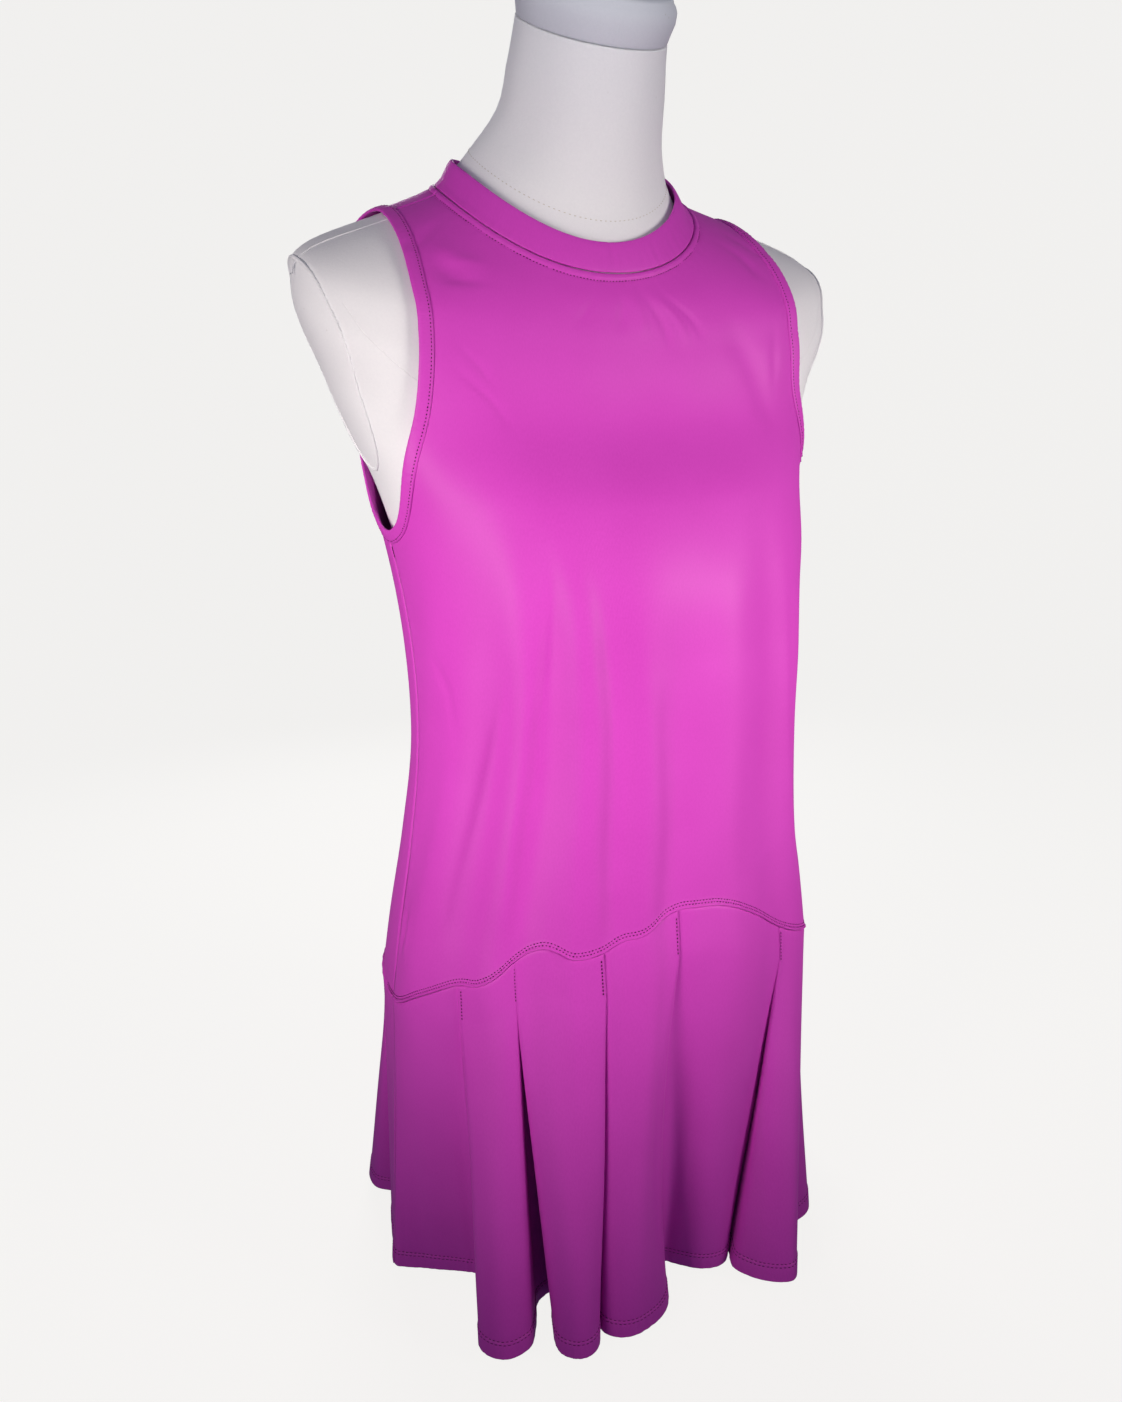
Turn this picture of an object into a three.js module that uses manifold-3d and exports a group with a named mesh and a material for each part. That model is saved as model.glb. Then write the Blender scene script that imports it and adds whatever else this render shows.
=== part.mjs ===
// Sleeveless athletic dress with a drop waist and a pleated skirt, standing on a
// limbless dress form. Millimetres, +Z up, the front faces -Y, +X is the wearer's
// left. The origin is on the floor below the middle of the form.
import * as THREE from "three";
import { mergeVertices } from "three/addons/utils/BufferGeometryUtils.js";
import Module from "manifold-3d";

const wasm = await Module();
wasm.setup();

// ---- driving dimensions ------------------------------------------------------
const GAP = 0.3; // between pieces that meet at a seam
const WAIST_GAP = 1.0; // between bodice and skirt, whose columns differ
const JERSEY = 1.6; // one layer of stretch jersey with its turnings
const BAND_THICK = 2.4; // neckband and armhole binding, folded double
const BINDING_LIFT = 0.9; // how far the binding's free edge stands off the form
const BINDING_WIDTH = 9;
const HEM_HEIGHT = 10; // hem above the floor
const HEM_RADIUS = 166; // mean radius of the hem, which the pleats swing about
const PLEAT_STITCH = 0.1; // share of the skirt's length that is stitched down
const PLEAT_SPREAD = 1.08; // how late below the stitching the pleats open
const NECK_SEAM = 771; // ring of the neckband's seam
const NECK_EDGE = 787; // ring of the neckband's free edge
const SIDE = Math.PI / 2;
const BODICE_COLUMNS = 26;
const BODICE_LOWER_ROWS = 9;
const SKIRT_ROWS = 7;
const RING_COLUMNS = 40;
const ARM_SEAM = { x: 182, z: 712, lean: 0.268, low: 585 }; // arm plate's seam plane and its lower end
const ARM_PLATE_FLATNESS = 0.5;
const NECK_CAP_SEAM = 863;
const POLE_RADIUS = 16;
const BASE_RADIUS = 105;
const BASE_THICK = 10;

// Every ring of the cloth: a superellipse half wide, front and back deep about a
// centre, its front and back dropping or rising by the two tilts (degrees). The
// shift moves it towards the wearer's left.
const CLOTH_RINGS = table(`
  name      height  shift  centre  tiltFront  tiltBack  half  front  back  square
  floor     0       0      0       0          0         185   182    188   2.1
  seamLow   222     0      -11     0          0         167   132    144   2.2
  seamSide  275     0      -14     0          0         160   124    132   2.2
  highHip   345     1      -17     0          0         149   117    116   2.2
  waist     420     4      -18     0          0         142   114    100   2.2
  rib       485     4.5    -15     1          0         141.5 118    103   2.25
  bust      545     2.5    -8      2          0         145   123    105   2.25
  underarm  592     0      -3      5          0         152   113    104   2.25
  chest     655     0      6       15         0         177   91     97    2.15
  shoulder  712     0      12      26         2         196   92     84    2.2
  slope     740     0      14      31         4         178   94     77    2.2
  trap      757     -1.5   14      34         5         128   93     71    2.15
  neckSeam  771     -6.5   12.5    36.5       8         86    86     65    2.1
  neckEdge  787     -8     10.5    38.2       8         73.5  79     61    2.0
`);

// How far the dress form lies inside the cloth, measured square to it.
const FORM_CLEARANCE = table(`
  height  front  side  back
  178     60     34    46
  230     45     16    26
  320     42     14    18
  415     48     29    16
  485     36     21    12
  545     12     7.5   8
  592     2.0    4.2   5
  655     1.5    1.8   3
  712     1.4    1.8   1.8
  771     1.4    1.5   1.5
  777     1.9    2.0   1.8
  783     2.6    3.0   2.6
`);

// The form's neck above the garment, in the same terms as the cloth's rings.
const NECK_RINGS = table(`
  name      height  shift  centre  tiltFront  tiltBack  half  front  back  square
  base      792     -4     12      36         18        66    69     57    2.0
  low       808     -1.7   1       32.5       25        55.3  57.5   56    2.0
  middle    838     -0.8   -10     28         28        50.3  51     51    2.0
  capSeam   863     -1.3   -19     26         26        47.2  48.5   48.5  2.0
  capEdge   883     -0.7   -27     26         26        47    47.5   47.5  2.0
  top       886     -0.7   -28.5   26         26        43.5  44     44    2.0
`);

// Drop-waist seam: its height at each angle, 0 at centre front, 180 centre back.
const WAIST_SEAM = table(`
  angle  height
  -180   246
  -135   239
  -110   233
  -88    230.5
  -73    253
  -60    269.5
  -53    273.5
  -48    281
  -43    293
  -38    301
  -34.5  303
  -31    300.5
  -28    296.5
  -24    295.7
  -19.5  298
  -15    303
  -9     306.5
  -5     313.5
  -1     317.3
  4      316.4
  8      314.8
  13     309.5
  18     301.5
  23     292.8
  29     281.3
  35     270.6
  41     262
  48     255
  58     247
  74     237
  90     231
  110    233
  135    239
  180    246
`);

// Armhole edge of the two panels, the underarm first and the shoulder last. The
// angles are those where the front and the back panel stop at each ring.
const ARMHOLE = table(`
  height  front  back
  558.5   90     90
  559.5   85.5   86
  562     81     82.5
  567     77     79
  575     73.5   75
  587     69.5   69
  600     65     62.5
  614     60     57
  630     54     52
  648     47.8   47.5
  668     43.4   44
  690     39.2   41
  711     37.6   40
  728     38.7   41
  740     43     45
  749     53.5   54.5
  754.5   63.5   64.5
  757.6   73     74
  759.2   81.5   82
  759.6   90     90
`);
const SHOULDER_ROWS = [763.2, 767]; // rings between the armhole and the neck seam

// Long soft folds of the bodice: they start at the top row and run to the seam.
const BODICE_FOLDS = table(`
  angleTop  top  angleLow  low  width  depth
  -41       600  -51       300  5.5    2.5
  -33       600  -40.5     300  4.5    -2.5
  -27.5     590  -27       300  4.5    2.5
  -18.5     580  -14.5     300  4.0    -2.0
  -58       560  -78       300  8.0    2.5
  -50       530  -60       300  6.0    -2.0
  -11       540  -10.5     300  4.0    1.5
  -2        540  -2        300  4.0    -1.5
  10        580  13        300  6.0    2.5
  24        600  31        280  7.0    -3.5
  40        560  47        270  7.0    2.5
  54        570  66        260  7.0    -4.0
  120       560  124       240  8.0    -4.0
  150       600  157       240  8.0    -4.5
  180       560  180       240  9.0    3.0
  -122      560  -126      240  8.0    -4.0
  -150      600  -158      240  8.0    -4.5
`);

// The skirt's pleats: each row is a line from the seam to the hem, with the angle
// where it leaves the seam, the angle where it meets the hem and its radius there,
// and how far it bows sideways on its way.
const PLEATS = table(`
  seam   hem    radius  sway
  -180   -178   150     0
  -170   -167   174     0
  -160   -157   185     0
  -150   -148   178     0
  -143   -141   150     0
  -136   -134   170     0
  -126   -125   188     0
  -115   -117   192     0
  -105   -106   160     0
  -97    -93    176     0
  -90    -82.5  186     0
  -82    -77.6  171     0
  -72    -71    155     0
  -64    -66    145     0
  -60.5  -57    165     0
  -58.5  -52    193     0
  -54    -48.5  201     0
  -48    -44.6  198     0
  -44.5  -42    182     0
  -43    -42    148     0
  -42    -39    150     0
  -41    -35.5  182     0
  -33    -30.8  189     0
  -25    -27.8  184     0
  -20.5  -27    165     0
  -18    -24.5  165     0
  -12    -20    172     0
  -5     -13.5  166     -5
  -1.8   -7     150     -9
  0      -2     120     -1
  6      5      124     0
  14     11.5   138     0
  24     18     140     0
  31     24     133     0
  34     22     137     0
  35.5   18.5   156     0
  41.5   21.6   184     0
  47     25     189     0
  55     32     174     0
  63     40     168     0
  70     48     177     0
  78     61     163     0
  84     73     160     0
  90     82     172     0
  98     93     178     0
  106    106    154     0
  112    115    158     0
  118    121    174     0
  127    129    190     0
  136    138    178     0
  143    144    150     0
  150    152    172     0
  160    160    186     0
  170    170    178     0
`);
const PLEAT_STEPS = 2; // grid columns between two rows of the table
const SIDE_SEAM_ROWS = { right: 10, left: 43 }; // rows of the table on the side seams

// ---- tables and curves ---------------------------------------------------------
function table(text) {
  const [names, ...rows] = text.trim().split("\n").map((line) => line.trim().split(/\s+/));
  return rows.map((row) =>
    Object.fromEntries(names.map((name, i) => [name, name === "name" ? row[i] : Number(row[i])])),
  );
}

function slopeAt(rows, key, column, i) {
  const step = (j) => (rows[j + 1][column] - rows[j][column]) / (rows[j + 1][key] - rows[j][key]);
  if (i === 0) return step(0);
  if (i === rows.length - 1) return step(i - 1);
  const before = rows[i][key] - rows[i - 1][key];
  const after = rows[i + 1][key] - rows[i][key];
  return (step(i - 1) * after + step(i) * before) / (before + after);
}

// Smooth curve through a column of a table, keyed by another column.
function smooth(rows, key, column, at) {
  let i = 0;
  while (i < rows.length - 2 && at > rows[i + 1][key]) i++;
  const w = rows[i + 1][key] - rows[i][key];
  const t = (at - rows[i][key]) / w;
  const [t2, t3] = [t * t, t * t * t];
  return (
    (2 * t3 - 3 * t2 + 1) * rows[i][column] +
    (t3 - 2 * t2 + t) * w * slopeAt(rows, key, column, i) +
    (3 * t2 - 2 * t3) * rows[i + 1][column] +
    (t3 - t2) * w * slopeAt(rows, key, column, i + 1)
  );
}

const radians = (degrees) => (degrees * Math.PI) / 180;
const ease = (t) => {
  const u = Math.min(Math.max(t, 0), 1);
  return u * u * (3 - 2 * u);
};

// ---- surfaces --------------------------------------------------------------------
// Point of a ring table at an angle (0 front, 90 degrees the wearer's left).
function ringPoint(rows, angle, height) {
  const g = {};
  for (const name of Object.keys(rows[0]).slice(2))
    g[name] = smooth(rows, "height", name, height);
  const [s, c] = [Math.sin(angle), Math.cos(angle)];
  const power = 2 / g.square;
  const along = -Math.sign(c) * Math.abs(c) ** power;
  const depth = along * (c >= 0 ? g.front : g.back);
  const tilt = radians((g.tiltFront * (1 - along) + g.tiltBack * (1 + along)) / 2);
  return new THREE.Vector3(
    g.shift + g.half * Math.sign(s) * Math.abs(s) ** power,
    g.centre + depth * Math.cos(tilt),
    height + depth * Math.sin(tilt),
  );
}

// Outward normal of any surface point(angle-like u, height-like v).
function normalOf(surface, u, v, du, dv) {
  const across = surface(u + du, v).sub(surface(u - du, v));
  const up = surface(u, v + dv).sub(surface(u, v - dv));
  return across.cross(up).normalize();
}

const clothRing = (angle, height) => ringPoint(CLOTH_RINGS, angle, height);
const clothNormal = (angle, height) => normalOf(clothRing, angle, height, 0.02, 1.5);

const turn = (degrees) => ((((degrees + 180) % 360) + 360) % 360) - 180;

// How far the bodice's folds move the cloth outwards.
function foldDepth(angle, height) {
  let sum = 0;
  for (const f of BODICE_FOLDS) {
    const run = (f.top - height) / (f.top - f.low);
    if (run <= 0) continue;
    const centre = f.angleTop + (f.angleLow - f.angleTop) * Math.min(run, 1);
    const off = turn((angle * 180) / Math.PI - centre) / f.width;
    sum += f.depth * ease(run / 0.35) * Math.exp(-off * off);
  }
  return sum;
}

// Inner face of the bodice.
function bodice(angle, height) {
  return clothRing(angle, height).addScaledVector(
    clothNormal(angle, height),
    foldDepth(angle, height),
  );
}

const seamHeight = (angle) => smooth(WAIST_SEAM, "angle", "height", turn((angle * 180) / Math.PI));

// A periodic column of the pleat table at a fractional row.
function pleatColumn(column, at) {
  const n = PLEATS.length;
  const i = Math.floor(at);
  const t = at - i;
  const isAngle = column === "seam" || column === "hem";
  const value = (j) =>
    PLEATS[((j % n) + n) % n][column] + (isAngle ? 360 * Math.floor(j / n) : 0);
  const [a, b, c, d] = [value(i - 1), value(i), value(i + 1), value(i + 2)];
  const [t2, t3] = [t * t, t * t * t];
  const cubic =
    (2 * t3 - 3 * t2 + 1) * b + (t3 - 2 * t2 + t) * ((c - a) / 2) +
    (3 * t2 - 2 * t3) * c + (t3 - t2) * ((d - b) / 2);
  return cubic;
}

// Lower edge of the bodice as it is cut: straight between the panels' columns.
const BODICE_EDGE = Array.from({ length: 2 * BODICE_COLUMNS }, (_, i) => {
  const angle = (i / BODICE_COLUMNS) * 2 * SIDE;
  const height = seamHeight(angle) + GAP / 2;
  return cell(bodice(angle, height), clothNormal(angle, height));
});

// Upper edge of the skirt's inner or outer face, just under the bodice's edge.
function skirtTop(angle, face) {
  const n = BODICE_EDGE.length;
  const at = ((((angle / (2 * SIDE)) * BODICE_COLUMNS) % n) + n) % n;
  const i = Math.floor(at);
  const point = BODICE_EDGE[i][face].clone().lerp(BODICE_EDGE[(i + 1) % n][face], at - i);
  point.z -= WAIST_GAP;
  return point;
}

// Inner face of the skirt: row of the pleat table, and 0 at the seam to 1 at the hem.
// A line hangs straight down from the seam; below the stitching it opens out to its
// own place on the hem and bows sideways by its sway.
function skirt(row, fall) {
  const [seam, hem] = ["seam", "hem"].map((name) => radians(pleatColumn(name, row)));
  const out = (angle, radius, height = 0) =>
    new THREE.Vector3(Math.sin(angle) * radius, -Math.cos(angle) * radius, height);
  const free = Math.max((fall - PLEAT_STITCH) / (1 - PLEAT_STITCH), 0);
  const opening = out(hem, pleatColumn("radius", row)).sub(out(seam, HEM_RADIUS));
  const bow = pleatColumn("sway", row) * Math.sin(Math.PI * free);
  return skirtTop(seam, "inner")
    .lerp(out(seam, HEM_RADIUS, HEM_HEIGHT), fall)
    .addScaledVector(opening, free ** PLEAT_SPREAD)
    .add(out(hem + SIDE, bow));
}

function skirtNormal(row, fall) {
  const angle = radians(pleatColumn("seam", row));
  const own = normalOf(skirt, row, Math.min(Math.max(fall, 0.01), 0.99), 0.05, -0.01);
  const seam = skirtTop(angle, "outer").sub(skirtTop(angle, "inner")).normalize();
  return seam.lerp(own, ease(fall / 0.12)).normalize();
}

// ---- closed solids -----------------------------------------------------------------
function solid(points, triangles) {
  let volume = 0;
  for (const [a, b, c] of triangles)
    volume += points[a].dot(new THREE.Vector3().crossVectors(points[b], points[c]));
  const faces = volume < 0 ? triangles.map(([a, b, c]) => [a, c, b]) : triangles;
  const geometry = new THREE.BufferGeometry();
  geometry.setAttribute(
    "position",
    new THREE.Float32BufferAttribute(points.flatMap((p) => [p.x, p.y, p.z]), 3),
  );
  geometry.setIndex(faces.flat());
  geometry.computeVertexNormals();
  return geometry;
}

const quad = (a, b, c, d) => [[a, b, c], [a, c, d]];

// A cloth sheet from rows of {inner, outer} points; closed sheets join their ends.
function sheet(rows, closed = false) {
  const [high, wide] = [rows.length, rows[0].length];
  const points = [];
  for (const side of ["outer", "inner"])
    for (const row of rows) for (const cell of row) points.push(cell[side]);
  const at = (side, j, i) => side * high * wide + j * wide + (i % wide);
  const triangles = [];
  const cells = closed ? wide : wide - 1;
  for (let j = 0; j < high - 1; j++)
    for (let i = 0; i < cells; i++) {
      triangles.push(...quad(at(0, j, i), at(0, j, i + 1), at(0, j + 1, i + 1), at(0, j + 1, i)));
      triangles.push(...quad(at(1, j, i), at(1, j + 1, i), at(1, j + 1, i + 1), at(1, j, i + 1)));
    }
  for (let i = 0; i < cells; i++) {
    const top = high - 1;
    triangles.push(...quad(at(0, 0, i), at(1, 0, i), at(1, 0, i + 1), at(0, 0, i + 1)));
    triangles.push(...quad(at(0, top, i), at(0, top, i + 1), at(1, top, i + 1), at(1, top, i)));
  }
  if (!closed)
    for (let j = 0; j < high - 1; j++) {
      const end = wide - 1;
      triangles.push(...quad(at(0, j, 0), at(0, j + 1, 0), at(1, j + 1, 0), at(1, j, 0)));
      triangles.push(...quad(at(0, j, end), at(1, j, end), at(1, j + 1, end), at(0, j + 1, end)));
    }
  return solid(points, triangles);
}

function cell(point, normal, thick = JERSEY) {
  return { inner: point.clone(), outer: point.clone().addScaledVector(normal, thick) };
}

// Draws the two ends of a row back by half the seam gap.
function openSeams(row) {
  const ends = [[0, 1], [row.length - 1, row.length - 2]];
  for (const [end, next] of ends) {
    const way = row[next].inner.clone().sub(row[end].inner).setLength(GAP / 2);
    row[end].inner.add(way);
    row[end].outer.add(way);
  }
  return row;
}

// A closed stack of rings with a flat or pointed cap at each end.
function stack(rings) {
  const wide = rings[0].length;
  const points = rings.flat();
  const triangles = [];
  for (let j = 0; j < rings.length - 1; j++)
    for (let i = 0; i < wide; i++) {
      const k = (i + 1) % wide;
      triangles.push(...quad(j * wide + i, j * wide + k, (j + 1) * wide + k, (j + 1) * wide + i));
    }
  for (const [ring, flip] of [[0, true], [rings.length - 1, false]]) {
    const centre = rings[ring]
      .reduce((sum, p) => sum.add(p), new THREE.Vector3())
      .divideScalar(wide);
    const hub = points.push(centre) - 1;
    for (let i = 0; i < wide; i++) {
      const pair = [ring * wide + i, ring * wide + ((i + 1) % wide)];
      triangles.push(flip ? [hub, pair[1], pair[0]] : [hub, pair[0], pair[1]]);
    }
  }
  return solid(points, triangles);
}

function toManifold(geometry) {
  const bare = geometry.clone();
  bare.deleteAttribute("normal");
  const merged = mergeVertices(bare, 1e-4);
  return new wasm.Manifold(
    new wasm.Mesh({
      numProp: 3,
      vertProperties: new Float32Array(merged.attributes.position.array),
      triVerts: new Uint32Array(merged.index.array),
    }),
  );
}

function fromManifold(manifold, move = (p) => p) {
  const mesh = manifold.getMesh();
  const points = [];
  for (let i = 0; i < mesh.vertProperties.length; i += mesh.numProp)
    points.push(move(new THREE.Vector3(...mesh.vertProperties.slice(i, i + 3))));
  const triangles = [];
  for (let i = 0; i < mesh.triVerts.length; i += 3)
    triangles.push([...mesh.triVerts.slice(i, i + 3)]);
  return solid(points, triangles);
}

// ---- the garment's pieces ------------------------------------------------------------
// Rows of a bodice panel; facing is 0 for the front and 180 degrees for the back.
function bodicePanel(column, facing) {
  const angleAt = (reach, share) =>
    facing + Math.asin(Math.sin(radians(reach)) * Math.sin(share * SIDE) * (1 - 1e-9));
  const rows = [];
  const shares = Array.from({ length: BODICE_COLUMNS + 1 }, (_, i) => (2 * i) / BODICE_COLUMNS - 1);
  const lay = (heightOf, reach) =>
    rows.push(
      openSeams(
        shares.map((share) => {
          const angle = Math.abs(share) === 1 && reach === 90 ? facing + share * SIDE : angleAt(reach, share);
          const height = heightOf(angle);
          return cell(bodice(angle, height), clothNormal(angle, height));
        }),
      ),
    );
  for (let j = 0; j < BODICE_LOWER_ROWS; j++) {
    const rise = j / BODICE_LOWER_ROWS;
    lay((angle) => {
      const seam = seamHeight(angle) + GAP / 2;
      return seam + (ARMHOLE[0].height - seam) * rise;
    }, 90);
  }
  for (const row of ARMHOLE) lay(() => row.height, row[column]);
  for (const height of SHOULDER_ROWS) lay(() => height, 90);
  lay(() => NECK_SEAM - GAP / 2, 90);
  return sheet(rows);
}

function skirtPanel(from, to) {
  const rows = [];
  for (let j = 0; j <= SKIRT_ROWS; j++) {
    const fall = j / SKIRT_ROWS;
    const row = [];
    for (let i = from * PLEAT_STEPS; i <= to * PLEAT_STEPS; i++)
      row.push(cell(skirt(i / PLEAT_STEPS, fall), skirtNormal(i / PLEAT_STEPS, fall)));
    rows.push(openSeams(row));
  }
  return sheet(rows);
}

function neckband() {
  const rows = [];
  for (const height of [NECK_SEAM + GAP / 2, (NECK_SEAM + NECK_EDGE) / 2, NECK_EDGE]) {
    const row = [];
    for (let i = 0; i < RING_COLUMNS; i++) {
      const angle = (i / RING_COLUMNS) * 2 * Math.PI;
      row.push(cell(clothRing(angle, height), clothNormal(angle, height), BAND_THICK));
    }
    rows.push(row);
  }
  return sheet(rows, true);
}

// Binding of one armhole: a strip that carries on from the panels' edge.
function armholeBinding(hand) {
  const loop = [];
  for (const row of ARMHOLE) loop.push([radians(row.front), row.height]);
  for (const row of ARMHOLE.slice(1, -1).reverse()) loop.push([Math.PI - radians(row.back), row.height]);
  const n = loop.length;
  const edge = loop.map(([angle, height]) => bodice(hand * angle, height));
  const normals = loop.map(([angle, height]) => clothNormal(hand * angle, height));
  const centre = edge.reduce((sum, p) => sum.add(p), new THREE.Vector3()).divideScalar(n);
  const ways = edge.map((p, i) => {
    const tangent = edge[(i + 1) % n].clone().sub(edge[(i + n - 1) % n]).normalize();
    const way = new THREE.Vector3().crossVectors(normals[i], tangent).normalize();
    return way.dot(centre.clone().sub(p)) < 0 ? way.negate() : way;
  });
  const rows = [[GAP, 0], [GAP + BINDING_WIDTH, BINDING_LIFT]].map(([out, lift]) =>
    edge.map((p, i) => {
      const point = p.clone().addScaledVector(ways[i], out).addScaledVector(normals[i], lift);
      return cell(point, normals[i], BAND_THICK);
    }),
  );
  return sheet(rows, true);
}

// ---- the dress form --------------------------------------------------------------------
function formPoint(angle, height) {
  const c = Math.cos(angle);
  const [end, side] = ["front", "side"].map((name) => smooth(FORM_CLEARANCE, "height", name, height));
  const back = smooth(FORM_CLEARANCE, "height", "back", height);
  const inset = side + ((c >= 0 ? end : back) - side) * c * c;
  return clothRing(angle, height).addScaledVector(clothNormal(angle, height), -inset);
}

function ringOf(surface, height) {
  return Array.from({ length: RING_COLUMNS }, (_, i) =>
    surface((i / RING_COLUMNS) * 2 * Math.PI, height),
  );
}

const neckPoint = (angle, height) => ringPoint(NECK_RINGS, angle, height);
const BODY_RINGS = [
  178, 200, 230, 275, 320, 368, 415, 450, 485, 515, 545, 570, 592, 612, 634, 656, 676, 696, 712,
  727, 740, 749, 757, 764, 771, 777, 783,
];
const torso = stack([
  ...BODY_RINGS.map((height) => {
    const ring = ringOf(formPoint, height);
    if (height === BODY_RINGS[0]) for (const p of ring) p.z = height;
    return ring;
  }),
  ...[792, 799, 808, 822, 838, NECK_CAP_SEAM - GAP / 2].map((height) => ringOf(neckPoint, height)),
]);
const neckCap = stack([NECK_CAP_SEAM + GAP / 2, 874, 883, 886].map((height) => ringOf(neckPoint, height)));

// The arm plates are the ends of the shoulders beyond a slanted plane, laid flatter.
function splitShoulders() {
  let body = toManifold(torso);
  const plates = {};
  for (const [name, hand] of [["right", -1], ["left", 1]]) {
    const way = new THREE.Vector3(hand * Math.cos(ARM_SEAM.lean), 0, -Math.sin(ARM_SEAM.lean));
    const offset = way.dot(new THREE.Vector3(hand * ARM_SEAM.x, 0, ARM_SEAM.z));
    const high = body.trimByPlane([0, 0, 1], ARM_SEAM.low);
    const low = body.trimByPlane([0, 0, -1], -ARM_SEAM.low);
    const plate = high.trimByPlane(way.toArray(), offset + GAP / 2);
    plates[name] = fromManifold(plate, (p) => {
      const out = way.dot(p) - offset - GAP / 2;
      return p.addScaledVector(way, -out * (1 - ARM_PLATE_FLATNESS));
    });
    const kept = high.trimByPlane(way.clone().negate().toArray(), -(offset - GAP / 2));
    body = low.add(kept);
  }
  return { body: fromManifold(body), plates };
}
const { body, plates } = splitShoulders();

const pole = new THREE.CylinderGeometry(POLE_RADIUS, POLE_RADIUS, BODY_RINGS[0] - BASE_THICK - 2 * GAP, 24);
pole.rotateX(Math.PI / 2);
const baseProfile = [
  [0, 0], [BASE_RADIUS - 2, 0], [BASE_RADIUS, 2], [BASE_RADIUS, BASE_THICK - 3],
  [BASE_RADIUS - 3, BASE_THICK], [0, BASE_THICK],
].map(([x, y]) => new THREE.Vector2(x, y));
const base = new THREE.LatheGeometry(baseProfile, 48);
base.rotateX(Math.PI / 2);

// ---- the scene -----------------------------------------------------------------------------
const material = (color, roughness, metalness = 0) =>
  new THREE.MeshStandardMaterial({ color, roughness, metalness });
const jersey = { color: 0xd24fbe, roughness: 0.62 };
const canvas = { color: 0xe4e4e6, roughness: 0.85 };

const group = new THREE.Group();
group.name = "athletic_dress_on_dress_form";

function add(name, geometry, look, place) {
  const mesh = new THREE.Mesh(geometry, material(look.color, look.roughness, look.metalness));
  mesh.name = name;
  if (place) mesh.position.set(...place);
  group.add(mesh);
}

add("bodice_front", bodicePanel("front", 0), jersey);
add("bodice_back", bodicePanel("back", Math.PI), jersey);
add("skirt_front", skirtPanel(SIDE_SEAM_ROWS.right, SIDE_SEAM_ROWS.left), jersey);
add("skirt_back", skirtPanel(SIDE_SEAM_ROWS.left, SIDE_SEAM_ROWS.right + PLEATS.length), jersey);
add("neckband", neckband(), jersey);
add("armhole_binding_right", armholeBinding(-1), jersey);
add("armhole_binding_left", armholeBinding(1), jersey);
add("form_torso", body, canvas);
add("form_arm_plate_right", plates.right, canvas);
add("form_arm_plate_left", plates.left, canvas);
add("form_neck_cap", neckCap, { color: 0xd4d8e0, roughness: 0.6 });
add("stand_pole", pole, { color: 0xb9bbc0, roughness: 0.35, metalness: 0.9 }, [
  0, 0, BASE_THICK + GAP + (BODY_RINGS[0] - BASE_THICK - 2 * GAP) / 2,
]);
add("stand_base", base, { color: 0xe9e9ea, roughness: 0.5 });

export default group;
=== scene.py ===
"""Looks of an athletic dress on a dress form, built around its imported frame.

Shapes are worked out in millimetres and written in metres. The front faces -Y, +X is
the wearer's left and +Z is up. An angle is 0 at centre front and 90 at the left side.
"""
import math

import bpy
import numpy as np
from mathutils import Matrix


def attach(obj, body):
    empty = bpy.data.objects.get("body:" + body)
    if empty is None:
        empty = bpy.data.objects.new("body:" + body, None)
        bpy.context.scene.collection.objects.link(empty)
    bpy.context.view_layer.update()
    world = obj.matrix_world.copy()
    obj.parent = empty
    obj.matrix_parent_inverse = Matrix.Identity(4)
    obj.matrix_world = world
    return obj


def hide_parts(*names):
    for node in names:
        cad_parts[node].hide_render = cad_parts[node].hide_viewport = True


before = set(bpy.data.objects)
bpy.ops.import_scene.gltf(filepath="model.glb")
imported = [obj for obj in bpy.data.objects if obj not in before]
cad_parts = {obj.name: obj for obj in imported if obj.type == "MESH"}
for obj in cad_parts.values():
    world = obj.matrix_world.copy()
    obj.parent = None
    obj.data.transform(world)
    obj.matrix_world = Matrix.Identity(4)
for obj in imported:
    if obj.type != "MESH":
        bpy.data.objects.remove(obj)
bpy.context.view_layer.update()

bl_info = {
    "name": "Athletic Dress",
    "version": (1, 0, 0),
    "blender": (4, 5, 0),
    "location": "View3D > Sidebar > Dress",
    "description": "Builds a pleated athletic dress on its dress form",
    "category": "Add Mesh",
}

MM = 0.001

# ---- the garment's driving tables, as in the part's source ---------------------------


def table(text):
    """Columns of a small table: the first line names them, and each later line is a row."""
    lines = [line.split() for line in text.strip().splitlines()]
    columns = np.array([[float(cell) for cell in row] for row in lines[1:]]).T
    return dict(zip(lines[0], columns))


CLOTH_RINGS = table("""
    height  shift  centre  tilt_front  tilt_back  half  front  back  square
    0       0      0       0           0          185   182    188   2.1
    222     0      -11     0           0          167   132    144   2.2
    275     0      -14     0           0          160   124    132   2.2
    345     1      -17     0           0          149   117    116   2.2
    420     4      -18     0           0          142   114    100   2.2
    485     4.5    -15     1           0          141.5 118    103   2.25
    545     2.5    -8      2           0          145   123    105   2.25
    592     0      -3      5           0          152   113    104   2.25
    655     0      6       15          0          177   91     97    2.15
    712     0      12      26          2          196   92     84    2.2
    740     0      14      31          4          178   94     77    2.2
    757     -1.5   14      34          5          128   93     71    2.15
    771     -6.5   12.5    36.5        8          86    86     65    2.1
    787     -8     10.5    38.2        8          73.5  79     61    2.0
""")
FORM_CLEARANCE = table("""
    height  front  side  back
    178     60     34    46
    230     45     16    26
    320     42     14    18
    415     48     29    16
    485     36     21    12
    545     12     7.5   8
    592     2.0    4.2   5
    655     1.5    1.8   3
    712     1.4    1.8   1.8
    771     1.4    1.5   1.5
    777     1.9    2.0   1.8
    783     2.6    3.0   2.6
""")
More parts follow.
